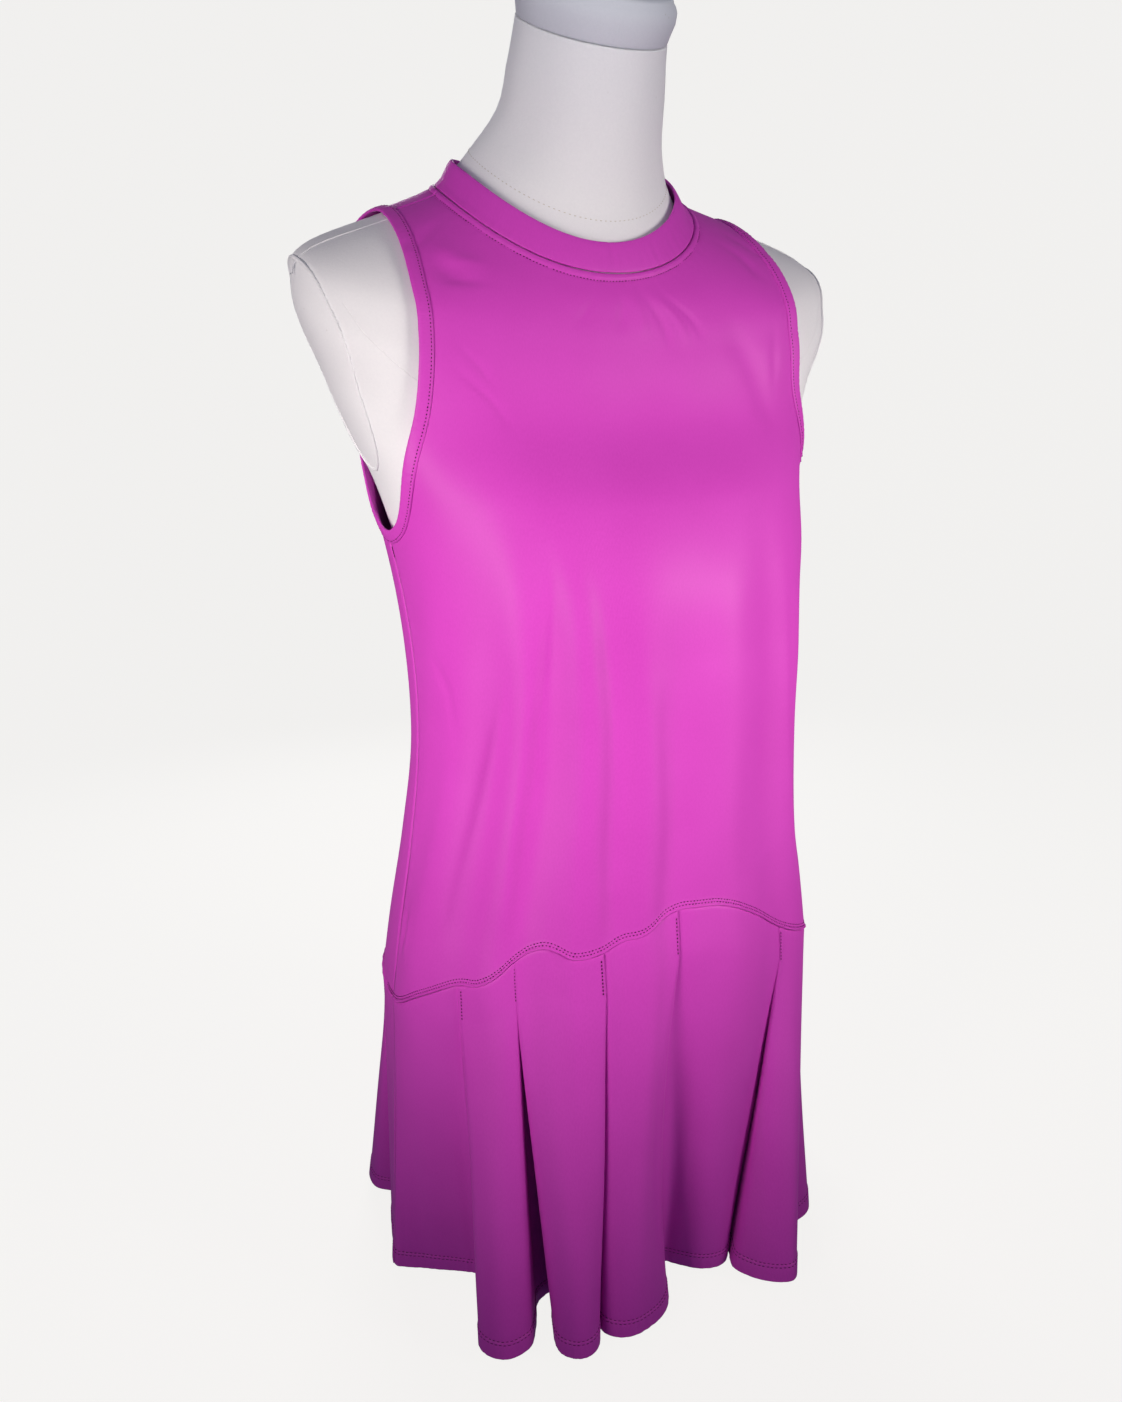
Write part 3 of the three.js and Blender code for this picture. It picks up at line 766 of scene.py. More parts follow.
def sewing_thread(name, colour, shade):
    """Spun polyester sewing thread: matt, with a fine uneven twist of two near tones."""
    material, tree = new_material(name)
    spot = add(tree, "ShaderNodeTexCoord").outputs["Object"]
    twist = add(tree, "ShaderNodeTexNoise", Vector=spot, Scale=1600.0, Detail=2.0).outputs["Fac"]
    base = add(
        tree, "ShaderNodeMix", {"data_type": "RGBA"}, i0=twist, i6=linear(shade), i7=linear(colour),
    ).outputs[2]
    bumpy = add(tree, "ShaderNodeBump", Strength=0.3, Distance=0.0002, Height=twist).outputs[0]
    shader = add(
        tree, "ShaderNodeBsdfPrincipled", Base_Color=base, Roughness=0.75, Normal=bumpy,
        Specular_IOR_Level=0.15,
    )
    finish_material(tree, shader)
    return material


def form_jersey(name, colour, shade, speck):
    """Cotton jersey stretched over foam: matt off-white with a fine even knit, a faint
    cloudiness and a few tiny specks of the fibre."""
    material, tree = new_material(name)
    spot = add(tree, "ShaderNodeTexCoord").outputs["Object"]
    weave = add(
        tree, "ShaderNodeTexNoise", Vector=spot, Scale=620.0, Detail=4.0, Roughness=0.6,
    ).outputs["Fac"]
    cloud = add(tree, "ShaderNodeTexNoise", Vector=spot, Scale=9.0, Detail=2.0).outputs["Fac"]
    tone = add(tree, "ShaderNodeMath", {"operation": "MULTIPLY_ADD"}, i0=weave, i1=0.6, i2=0.0).outputs[0]
    tone = add(tree, "ShaderNodeMath", {"operation": "MULTIPLY_ADD"}, i0=cloud, i1=0.4, i2=tone).outputs[0]
    base = add(
        tree, "ShaderNodeMix", {"data_type": "RGBA"}, i0=tone, i6=linear(shade), i7=linear(colour),
    ).outputs[2]
    cells = add(tree, "ShaderNodeTexVoronoi", Vector=spot, Scale=160.0).outputs["Distance"]
    dots = add(tree, "ShaderNodeMapRange", Value=cells, i1=0.05, i2=0.11, i3=1.0, i4=0.0).outputs[0]
    few = add(tree, "ShaderNodeTexNoise", Vector=spot, Scale=55.0).outputs["Fac"]
    chosen = add(tree, "ShaderNodeMapRange", Value=few, i1=0.60, i2=0.66).outputs[0]
    share = add(tree, "ShaderNodeMath", {"operation": "MULTIPLY"}, i0=dots, i1=chosen).outputs[0]
    share = add(tree, "ShaderNodeMath", {"operation": "MULTIPLY"}, i0=share, i1=0.35).outputs[0]
    base = add(
        tree, "ShaderNodeMix", {"data_type": "RGBA"}, i0=share, i6=base, i7=linear(speck),
    ).outputs[2]
    bumpy = add(tree, "ShaderNodeBump", Strength=0.35, Distance=0.0004, Height=weave).outputs[0]
    rough = add(tree, "ShaderNodeMapRange", Value=weave, i3=0.78, i4=0.92).outputs[0]
    shader = add(
        tree, "ShaderNodeBsdfPrincipled", Base_Color=base, Roughness=rough, Normal=bumpy,
        Specular_IOR_Level=0.25, Sheen_Weight=0.1,
    )
    finish_material(tree, shader)
    return material


def brushed_steel(name):
    """Brushed stainless tube: fine lines along its length in roughness and bump."""
    material, tree = new_material(name)
    spot = add(tree, "ShaderNodeTexCoord").outputs["Object"]
    lines = add(tree, "ShaderNodeMapping", Vector=spot, Scale=(900.0, 900.0, 12.0)).outputs[0]
    brush = add(tree, "ShaderNodeTexNoise", Vector=lines, Scale=1.0, Detail=3.0).outputs["Fac"]
    base = add(
        tree, "ShaderNodeMix", {"data_type": "RGBA"}, i0=brush, i6=linear("#A9ABB0"), i7=linear("#C9CBD0"),
    ).outputs[2]
    rough = add(tree, "ShaderNodeMapRange", Value=brush, i3=0.25, i4=0.42).outputs[0]
    bumpy = add(tree, "ShaderNodeBump", Strength=0.1, Distance=0.0002, Height=brush).outputs[0]
    shader = add(
        tree, "ShaderNodeBsdfPrincipled", Base_Color=base, Metallic=1.0, Roughness=rough, Normal=bumpy,
    )
    finish_material(tree, shader)
    return material


def powder_coat(name):
    """White powder-coated steel plate: a fine orange-peel surface and a faint uneven tone."""
    material, tree = new_material(name)
    spot = add(tree, "ShaderNodeTexCoord").outputs["Object"]
    peel = add(tree, "ShaderNodeTexNoise", Vector=spot, Scale=700.0, Detail=2.0).outputs["Fac"]
    dust = add(tree, "ShaderNodeTexNoise", Vector=spot, Scale=20.0, Detail=3.0).outputs["Fac"]
    base = add(
        tree, "ShaderNodeMix", {"data_type": "RGBA"}, i0=dust, i6=linear("#DADADB"), i7=linear("#EEEEEF"),
    ).outputs[2]
    rough = add(tree, "ShaderNodeMapRange", Value=dust, i3=0.42, i4=0.58).outputs[0]
    bumpy = add(tree, "ShaderNodeBump", Strength=0.2, Distance=0.0002, Height=peel).outputs[0]
    shader = add(tree, "ShaderNodeBsdfPrincipled", Base_Color=base, Roughness=rough, Normal=bumpy)
    finish_material(tree, shader)
    return material


def pale_sweep(name, colour):
    """Seamless paper behind a product: even and matt, with a little light of its own."""
    material, tree = new_material(name)
    spot = add(tree, "ShaderNodeTexCoord").outputs["Object"]
    paper = add(tree, "ShaderNodeTexNoise", Vector=spot, Scale=3.0, Detail=2.0).outputs["Fac"]
    base = add(
        tree, "ShaderNodeMix", {"data_type": "RGBA"}, i0=paper, i6=linear("#5C5B5A"), i7=linear("#605F5E"),
    ).outputs[2]
    shader = add(
        tree, "ShaderNodeBsdfPrincipled", Base_Color=base, Roughness=0.95,
        Specular_IOR_Level=0.0, Emission_Color=linear(colour), Emission_Strength=0.96,
    )
    finish_material(tree, shader)
    return material


# ---- settings that a user would change -----------------------------------------------
class DressSizes(bpy.types.PropertyGroup):
    """Sizes of the making."""

    stitch_pitch: bpy.props.FloatProperty(
        name="Stitch pitch", description="Length of one stitch of the coverstitched seams",
        default=0.0024, min=0.001, max=0.006, unit="LENGTH", subtype="DISTANCE")
    hem_pitch: bpy.props.FloatProperty(
        name="Hem stitch pitch", description="Length of one stitch of the hem",
        default=0.0032, min=0.001, max=0.006, unit="LENGTH", subtype="DISTANCE")
    camera_lens: bpy.props.FloatProperty(
        name="Lens", description="Focal length of the camera, in millimetres",
        default=28.245, min=10, max=200)


class DressColours(bpy.types.PropertyGroup):
    """Colours of the materials, as sRGB hex values."""

    jersey: bpy.props.StringProperty(
        name="Jersey", description="Lighter tone of the dress's jersey", default="#D44AC6")
    jersey_shade: bpy.props.StringProperty(
        name="Jersey shade", description="Deeper tone of the dress's jersey", default="#BE38AF")
    # The thread's tones are its own colour made much darker, as painted shade of the dents that the stitches
    # sit in.
    thread: bpy.props.StringProperty(
        name="Thread", description="Colour of the sewing thread", default="#5E1150")
    form: bpy.props.StringProperty(
        name="Form cover", description="Colour of the dress form's cover", default="#EBECEF")
    floor: bpy.props.StringProperty(
        name="Floor", description="Colour of the floor and backdrop", default="#F4F3F1")


def settings():
    """The sizes and colours chosen for this scene."""
    scene = bpy.context.scene
    return scene.dress_sizes, scene.dress_colours


def material_named(name):
    """A material made earlier, or the one that its maker gives."""
    found = bpy.data.materials.get(name)
    if found:
        return found
    colours = settings()[1]
    makers = {
        "polyamide_jersey": lambda: knit_jersey(name, colours.jersey, colours.jersey_shade, 0.52, 0.1),
        # dark thread: its own colour, darkened as painted shade of the stitch dents
        "dress_thread_painted_dent_shade": lambda: sewing_thread(name, colours.thread, "#430A39"),
        "cotton_jersey_cover": lambda: form_jersey(name, colours.form, "#DDDFE4", "#A9A49C"),
        # the cap's cover is the form's jersey made darker and bluer all over, as painted shade of the cap's
        # top face
        "cap_jersey_painted_shade": lambda: form_jersey(name, "#D2D5DD", "#C4C9D3", "#A9A49C"),
        "cover_seam_thread": lambda: sewing_thread(name, "#D2CEC6", "#BDB8AE"),
        "brushed_stainless": lambda: brushed_steel(name),
        "white_powder_coat": lambda: powder_coat(name),
        "seamless_paper": lambda: pale_sweep(name, colours.floor),
    }
    return makers[name]()


def dressed(piece, material, replaced=()):
    """Gives a piece its material, its body and the CAD nodes that it stands for."""
    piece.data.materials.append(material_named(material))
    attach(piece, "root")
    if replaced:
        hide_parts(*replaced)
    return piece


# ---- the bodice ----------------------------------------------------------------------
BODICE_COLUMNS = 168
SEAM_ROWS = [0, 0.35, 0.7, 1.1, 1.6, 2.1, 2.6, 3.2, 3.8, 4.4, 5.0, 5.6, 6.2, 7.0, 8.0, 9.5, 12.0]
LOWER_ROWS, ARMHOLE_ROWS, SHOULDER_ROWS = 84, 104, 24


def armhole_run(column, count):
    """Heights and angles along one panel's armhole, even in length: a smooth curve through
    the table keyed by the run along it."""
    rows = {key: ARMHOLE[key] for key in ("height", column)}
    rows["run"] = arc(cloth_ring(np.radians(rows[column]), rows["height"]), 0)
    run = np.linspace(0, rows["run"][-1], count)
    return smooth(rows, "run", "height", run), np.minimum(smooth(rows, "run", column, run), 90)


def fair_armhole():
    """The whole armhole as heights and angles, the underarm first, up the front and down
    the back. Each pass averages the closed line with a bell 11 mm wide and moves its points
    along the body's surface towards that, except close to the underarm and the shoulder,
    where both panels meet."""
    half = 200
    front, back = armhole_run("front", half + 1), armhole_run("back", half + 1)
    height = np.concatenate([front[0], back[0][-2:0:-1]])
    angle = np.radians(np.concatenate([front[1], 180 - back[1][-2:0:-1]]))
    for _ in range(4):
        line = cloth_ring(angle, height)
        run = arc(np.concatenate([line, line[:1]]), 0)
        reach = np.arange(-40, 41)
        bell = bump(reach * run[-1] / len(line), 11.0)
        fair = sum(np.roll(line, k, 0) * b for k, b in zip(reach, bell)) / bell.sum()
        ends = np.minimum(np.minimum(run[:-1], run[-1] - run[:-1]), np.abs(run[:-1] - run[half]))
        move = (fair - line) * ease((ends - 2) / 22)[:, None]
        across = (cloth_ring(angle + 1e-3, height) - line) / 1e-3
        up = cloth_ring(angle, height + 0.1) * 10 - line * 10
        aa, uu, au = ((p * q).sum(-1) for p, q in ((across, across), (up, up), (across, up)))
        ma, mu = ((move * p).sum(-1) for p in (across, up))
        det = aa * uu - au ** 2
        angle = angle + (ma * uu - mu * au) / det
        height = np.clip(height + (mu * aa - ma * au) / det, UNDERARM, SHOULDER_TOP)
    return height, np.degrees(angle), half


FAIR_ARMHOLE = fair_armhole()


def armhole_line(column, count):
    """Heights and reaches along a panel's armhole, from the underarm, even in length."""
    height, angle, half = FAIR_ARMHOLE
    if column == "back":
        height, angle = np.roll(height[::-1], 1), 180 - np.roll(angle[::-1], 1)
    height, angle = height[: half + 1], np.minimum(angle[: half + 1], 90)
    run = arc(cloth_ring(np.radians(angle), height), 0)
    at = np.linspace(0, run[-1], count)
    return np.interp(at, run, height), np.interp(at, run, angle)


def bodice_grid(column, facing):
    """Angles and heights of a panel: even columns below the underarm, columns that close up
    towards the armhole beside it, and even ones again over the shoulder."""
    share = np.linspace(-1, 1, BODICE_COLUMNS)
    even = facing + share * np.pi / 2
    seam = seam_height(even) + SEAM_GAP / 2
    near = [seam + d for d in SEAM_ROWS]
    rise = np.linspace(0, 1, LOWER_ROWS + 1)[1:-1]
    low = [near[-1] + (UNDERARM - near[-1]) * t for t in rise]
    angles = [even] * (len(near) + len(low))
    heights = near + low
    for height, reach in zip(*armhole_line(column, ARMHOLE_ROWS)):
        inside = np.arcsin(np.clip(np.sin(np.radians(reach)) * np.sin(share * np.pi / 2), -1, 1))
        angles.append(facing + inside)
        heights.append(np.full(BODICE_COLUMNS, height))
    top = NECK_SEAM - SEAM_GAP / 2
    for t in np.linspace(0, 1, SHOULDER_ROWS + 1)[1:]:
        angles.append(even)
        heights.append(np.full(BODICE_COLUMNS, SHOULDER_TOP + (top - SHOULDER_TOP) * t ** 0.8))
    return np.array(angles), np.array(heights)


def bodice_faces(column, facing):
    """Inner and outer face of a panel."""
    angle, height = bodice_grid(column, facing)
    inner = bodice_inner(angle, height)
    inner[:, 0] += (inner[:, 1] - inner[:, 0]) * 0.06
    inner[:, -1] += (inner[:, -2] - inner[:, -1]) * 0.06
    thick = JERSEY_THICK + np.maximum(bodice_relief(angle, height), -0.75)
    return inner, inner + cloth_normal(angle, height) * thick[..., None]


class DRESS_OT_bodice(bpy.types.Operator):
    """Builds the front and the back of the bodice."""

    bl_idname = "dress.bodice"
    bl_label = "Bodice"

    def execute(self, context):
        for side, facing in (("front", 0.0), ("back", math.pi)):
            inner, outer = bodice_faces(side, facing)
            piece = shell(f"bodice_{side}_panel", inner, outer)
            dressed(piece, "polyamide_jersey", [f"bodice_{side}"])
        return {"FINISHED"}


# ---- the skirt -----------------------------------------------------------------------
SKIRT_COLUMNS = {"front": 400, "back": 360}
SKIRT_MIDDLE_ROWS = 74
TOP_ROWS = [0, 0.7, 1.6, 3.0, 5.0, 7.5, 10.5, 14, 18, 22]
HEM_ROWS = [15, 13.8, 13.0, 12.4, 11.8, 11.0, 10.2, 9.4, 8, 6, 4, 2.2, 1.0, 0.3, 0]


def pleat_line(column, at):
    """A column of the pleat table at fractional rows: a smooth closed curve through it,
    whose slope at a row is half the step between its two neighbours."""
    values, count = PLEATS[column], len(PLEATS[column])
    full_turn = 360.0 if column in ("seam", "hem") else 0.0
    i = np.floor(at).astype(int)
    t = at - i
    a, b, c, d = (values[(i + k) % count] + full_turn * ((i + k) // count) for k in (-1, 0, 1, 2))
    t2, t3 = t * t, t ** 3
    return (
        (2 * t3 - 3 * t2 + 1) * b + (t3 - 2 * t2 + t) * (c - a) / 2
        + (3 * t2 - 2 * t3) * c + (t3 - t2) * (d - b) / 2
    )


def skirt_lines(at):
    """For each of the skirt's lines: its top point, the way from there straight down to an
    even hem, what the pleats add to that at the hem, and what they add half way down."""
    seam, hem = (np.radians(pleat_line(column, at)) for column in ("seam", "hem"))
    height = seam_height(seam) + SEAM_GAP / 2
    top = bodice_inner(seam, height) + cloth_normal(seam, height) * pleat_line("lift", at)[:, None]
    top[:, 2] -= 2 * SEAM_GAP
    flat = lambda x, y: np.stack([x, y, np.zeros_like(x)], -1)
    plumb, out = flat(np.sin(seam), -np.cos(seam)), flat(np.sin(hem), -np.cos(hem))
    down = plumb * HEM_RADIUS + (0, 0, HEM_HEIGHT) - top
    opened = out * pleat_line("radius", at)[:, None] - plumb * HEM_RADIUS
    return top, down, opened, flat(np.cos(hem), np.sin(hem)) * pleat_line("sway", at)[:, None]


def skirt_point(lines, fall):
    """Inner face of the skirt: straight down from the seam, opened by the pleats more and
    more below their stitched tops, and bowed sideways by half a sine wave."""
    top, down, opened, sway = lines
    free = np.maximum((fall - PLEAT_STITCHED) / (1 - PLEAT_STITCHED), 0)[..., None]
    return top + down * fall[..., None] + opened * free ** 1.08 + sway * np.sin(np.pi * free)


def skirt_columns(side):
    """Fractional rows of the pleat table for a panel's columns, even along its hem."""
    first, last = RIGHT_SIDE_ROW, LEFT_SIDE_ROW
    if side == "back":
        first, last = last, first + len(PLEATS["seam"])
    fine = np.linspace(first, last, 4001)
    lines = skirt_lines(fine)
    hem = np.linalg.norm(np.diff(skirt_point(lines, np.ones(4001)), axis=0), axis=-1)
    top = np.linalg.norm(np.diff(lines[0], axis=0), axis=-1)
    places = spread(hem + 0.8 * top + 1e-4, SKIRT_COLUMNS[side])
    return np.interp(places, np.arange(4001), fine)


def skirt_rows(lines):
    """Share of the fall at each row and column: by length near the seam and the hem."""
    length = np.linalg.norm(lines[1] + lines[2], axis=-1)
    top = np.array(TOP_ROWS)[:, None] / length
    hem = 1 - np.array(HEM_ROWS)[:, None] / length
    t = np.linspace(0, 1, SKIRT_MIDDLE_ROWS + 2)[1:-1, None]
    return np.concatenate([top, top[-1] + (hem[0] - top[-1]) * t, hem]), length


def skirt_grid(side):
    """Inner face, normal and distances from seam and hem for a panel, hem row first."""
    at = skirt_columns(side)
    lines = skirt_lines(at)
    fall, length = skirt_rows(lines)
    points = skirt_point(lines, fall)[::-1]
    fall = fall[::-1]
    across = np.gradient(points, axis=1)
    rise = np.gradient(points, axis=0)
    normal = unit(np.cross(across, rise))
    wave = 0.5 * ripple(at[None, :] * 14, fall * 260, 70, 160, 21) * ease(fall / 0.2)
    points = points + normal * wave[..., None]
    return points, normal, fall * length, (1 - fall) * length, at


def skirt_thickness(from_seam, from_hem, at):
    """Thickness of the skirt: one layer, two in the turned hem with its stitch dents, and
    puckers under the seam and along the hem."""
    run = at[None, :] * 14
    return (
        JERSEY_THICK - 0.45 * bump(from_seam, 0.8)
        + 0.6 * ease((12.6 - from_hem) / 1.0) - 0.25 * bump(from_hem - 10.2, 0.5)
        - 0.25 * bump(from_hem - 12.4, 0.5)
        + 0.15 * ripple(run, from_hem, 9, 30, 22) * ease((20 - from_hem) / 10)
        + 0.15 * ripple(run, from_seam, 7, 20, 23) * ease((12 - from_seam) / 10)
    )


class DRESS_OT_skirt(bpy.types.Operator):
    """Builds the front and the back of the skirt."""

    bl_idname = "dress.skirt"
    bl_label = "Skirt"

    def execute(self, context):
        for side in ("front", "back"):
            inner, normal, from_seam, from_hem, at = skirt_grid(side)
            thick = skirt_thickness(from_seam, from_hem, at)
            piece = shell(f"skirt_{side}_panel", inner, inner + normal * thick[..., None])
            dressed(piece, "polyamide_jersey", [f"skirt_{side}"])
        return {"FINISHED"}


# ---- neckband and bindings -----------------------------------------------------------
BAND_COLUMNS, BAND_PROFILE = 300, 22
BINDING_COLUMNS, BINDING_PROFILE = 280, 18


def strip_profile(count, roundness):
    """A flat strip's cross-section as a superellipse: place across it and place through
    it, both from -1 to 1, starting at the inner face's lower edge."""
    a = np.linspace(0, 2 * np.pi, count, endpoint=False)
    across = -np.sign(np.cos(a)) * np.abs(np.cos(a)) ** roundness
    through = -np.sign(np.sin(a)) * np.abs(np.sin(a)) ** (roundness * 1.3)
    return across, through


def strip_mesh(name, grid):
    """A closed strip: columns go round the loop and rows go round the cross-section. The
    UV map is the run along the loop and round the section."""
    rows, columns = grid.shape[:2]
    j, i = np.meshgrid(np.arange(rows), np.arange(columns), indexing="ij")
    row = np.stack([j, j, j + 1, j + 1], -1).reshape(-1, 4)
    column = np.stack([i, i + 1, i + 1, i], -1).reshape(-1, 4)
    quads = (row % rows) * columns + column % columns
    loop = arc(np.concatenate([grid[0], grid[0, :1]]), 0)
    section = arc(np.concatenate([grid[:, 0], grid[:1, 0]]), 0)
    uv = np.stack([loop[column], section[row]], -1)
    return make_mesh(name, grid.reshape(-1, 3), [quads], uv.reshape(-1, 2))


def neckband_point(angle, share, through):
    """A point of the neckband: share 0 at the seam to 1 at the free edge, and through 0 at
    the inner face to 1 at the outer one."""
    height = NECK_SEAM + SEAM_GAP / 2 + (NECK_EDGE - NECK_SEAM - SEAM_GAP / 2) * share
    girth = np.degrees(angle) * 1.6
    wave = 0.18 * ripple(girth, share * 16, 9, 40, 31) * ease(1 - share)
    tick = -0.5 * bump(girth, 1.1) * ease((share - 0.35) / 0.3)
    seam = -0.4 * bump(turn(np.degrees(angle) - 180) * 1.6, 0.7)
    crown = 0.25 * np.sin(np.pi * np.clip(share, 0, 1)) * through
    lean = 0.5 * ease((share - 0.6) / 0.4)
    out = 0.1 + BAND_THICK * through + wave + tick * through + seam * through + crown - lean
    return cloth_ring(angle, height) + cloth_normal(angle, height) * out[..., None]


class DRESS_OT_neckband(bpy.types.Operator):
    """Builds the folded neckband."""

    bl_idname = "dress.neckband"
    bl_label = "Neckband"

    def execute(self, context):
        angle = np.linspace(0, 2 * np.pi, BAND_COLUMNS, endpoint=False)[None]
        across, through = (c[:, None] for c in strip_profile(BAND_PROFILE, 0.4))
        grid = neckband_point(angle, (across + 1) / 2, (through + 1) / 2)
        piece = strip_mesh("neckband_strip", grid)
        dressed(piece, "polyamide_jersey", ["neckband"])
        return {"FINISHED"}


def armhole_loop(hand, count):
    """Edge of an armhole as a closed line, with its normals and its ways into the hole."""
    half = count // 2 + 1
    front_height, front_reach = armhole_line("front", half)
    back_height, back_reach = armhole_line("back", half)
    height = np.concatenate([front_height, back_height[-2:0:-1]])
    angle = np.radians(np.concatenate([front_reach, 180 - back_reach[-2:0:-1]])) * hand
    edge, normal = bodice_inner(angle, height), cloth_normal(angle, height)
    along = frame_along(edge, True)
    way = unit(np.cross(normal, along))
    inward = edge.mean(0) - edge
    way = way * np.sign((way * inward).sum(-1, keepdims=True))
    for _ in range(3):
        way = unit(np.roll(way, 1, 0) + way * 2 + np.roll(way, -1, 0))
    return edge, normal, way


def binding_point(loop, share, through, seed):
    """A point of a binding: share 0 at the panels and 1 at the free edge, through 0 at the
    inner face and 1 at the outer, with fine puckers beside the stitches."""
    edge, normal, way = loop
    run = arc(edge, 0)
    wide = SEAM_GAP / 2 + BINDING_WIDTH * share
    pucker = ripple(run, share * 10, 5.5, 60, seed) * (0.2 + 0.15 * bump(share - 0.3, 0.3))
    dent = -0.35 * bump((share - 0.2) * BINDING_WIDTH, 0.5)
    crown = 0.35 * np.sin(np.pi * np.clip(share, 0, 1))
    out = BINDING_LIFT * share + 0.1 + through * (BAND_THICK + pucker + dent + crown)
    return edge + way * wide[..., None] + normal * out[..., None]


class DRESS_OT_bindings(bpy.types.Operator):
    """Builds the two armhole bindings."""

    bl_idname = "dress.bindings"
    bl_label = "Armhole bindings"

    def execute(self, context):
        across, through = (c[:, None] for c in strip_profile(BINDING_PROFILE, 0.45))
        for name, hand, seed in (("right", -1, 41), ("left", 1, 42)):
            loop = armhole_loop(hand, BINDING_COLUMNS)
            grid = binding_point(loop, (across + 1) / 2, (through + 1) / 2, seed)
            if hand > 0:
                grid = grid[::-1]
            piece = strip_mesh(f"armhole_binding_{name}_strip", grid)
            dressed(piece, "polyamide_jersey", [f"armhole_binding_{name}"])
        return {"FINISHED"}


# ---- stitching -----------------------------------------------------------------------
def bodice_outer_line(angle, height, out=0.1):
    """Points just over the bodice's outer face, and their normals."""
    normal = cloth_normal(angle, height)
    relief = np.maximum(bodice_relief(angle, height), -0.75)
    return bodice_inner(angle, height) + normal * (JERSEY_THICK + relief + out)[..., None], normal


def skirt_stitches(side, distance, pitch):
    """Stitches along the hem at a distance above its edge."""
    points, normal, from_seam, from_hem, at = skirt_grid(side)
    thick = skirt_thickness(from_seam, from_hem, at)
    row = int(np.argmin(np.abs(from_hem[:, 0] - distance)))
    line = points[row] + normal[row] * (thick[row] + 0.05)[:, None]
    return evenly(line, normal[row], pitch)


def pleat_stitches(pitch):
    """Stitches down the top of each pleat, along the line of the table that is nearest to
    the pleat's edge, as far as it is sewn."""
    found = []
    for angle in SEWN_PLEATS:
        row = int(np.argmin(np.abs(PLEATS["seam"] - angle)))
        at = np.full(30, float(row))
        points = skirt_point(skirt_lines(at), np.linspace(0.012, PLEAT_STITCHED, 30))
        seam = np.radians(pleat_line("seam", at))
        normal = cloth_normal(seam, seam_height(seam))
        found.append(evenly(points + normal * (JERSEY_THICK + 0.15), normal, pitch))
    return found


class DRESS_OT_stitching(bpy.types.Operator):
    """Sews the seams, hems and pleats."""

    bl_idname = "dress.stitching"
    bl_label = "Stitching"

    def execute(self, context):
        sizes = settings()[0]
        pitch, hem_pitch = sizes.stitch_pitch / MM, sizes.hem_pitch / MM
        round_body = np.linspace(-np.pi, np.pi, 900, endpoint=False)
        rows = [
            evenly(*bodice_outer_line(round_body, seam_height(round_body) + above), pitch, True)
            for above in WAIST_STITCHES
        ]
        waist = stitches("waist_coverstitch", rows, pitch * 0.6, 0.95, 0.7)
        below = NECK_SEAM - NECK_STITCHES / neck_speed(round_body)
        seam_pitch, *stitch = SEAM_STITCH
        rows = [evenly(*bodice_outer_line(round_body, below), seam_pitch, True)]
        neck = stitches("neck_topstitch", rows, *stitch)
        hems = []
        for side in ("front", "back"):
            rows = [skirt_stitches(side, above, hem_pitch) for above in HEM_STITCHES]
            hems.append(stitches(f"hem_coverstitch_{side}", rows, hem_pitch * 0.7, 0.6, 0.55))
        holes = []
        for name, hand, seed in (("right", -1, 41), ("left", 1, 42)):
            loop = armhole_loop(hand, BINDING_COLUMNS)
            share = np.full(BINDING_COLUMNS, 0.2)
            line = binding_point(loop, share, np.ones(BINDING_COLUMNS), seed) + loop[1] * 0.1
            rows = [evenly(line, loop[1], seam_pitch, True)]
            holes.append(stitches(f"armhole_stitching_{name}", rows, *stitch))
        tacks = []
        for hand in (-1, 1):
            height = np.linspace(UNDERARM - 9.5, UNDERARM - 2.5, 30)
            angle = np.full(30, hand * np.pi / 2)
            line, normal = bodice_outer_line(angle, height)
            tacks.append(evenly(line + (0, -0.5, 0), normal, 0.9))
        tack = stitches("underarm_bar_tacks", tacks, 1.3, 2.2, 0.9)
        folds = stitches("pleat_stitching", pleat_stitches(2.6), 1.7, 0.9, 0.7)
        # The thread's darkness is partly painted shade of the dents that the stitches sit in.
        for piece in [waist, neck, folds, *hems, *holes, tack]:
            dressed(piece, "dress_thread_painted_dent_shade")
        return {"FINISHED"}


# ---- the dress form ------------------------------------------------------------------
FORM_COLUMNS = 180


def form_ring(angle, height):
    """The dress form inside the cloth: the smooth body moved in by its clearance, which
    turns from the sides' to the front's or the back's with the squared cosine."""
    c = np.cos(angle)
    side = smooth(FORM_CLEARANCE, "height", "side", height)
    front = smooth(FORM_CLEARANCE, "height", "front", height)
    back = smooth(FORM_CLEARANCE, "height", "back", height)
    inset = side + (np.where(c >= 0, front, back) - side) * c * c
    return cloth_ring(angle, height) - cloth_normal(angle, height) * inset[..., None]


def arm_plane(hand):
    """Outward direction of an arm plate and its distance from the origin."""
    way = np.array([hand * math.cos(ARM_LEAN), 0, -math.sin(ARM_LEAN)])
    return way, way @ (hand * ARM_X, 0, ARM_Z)


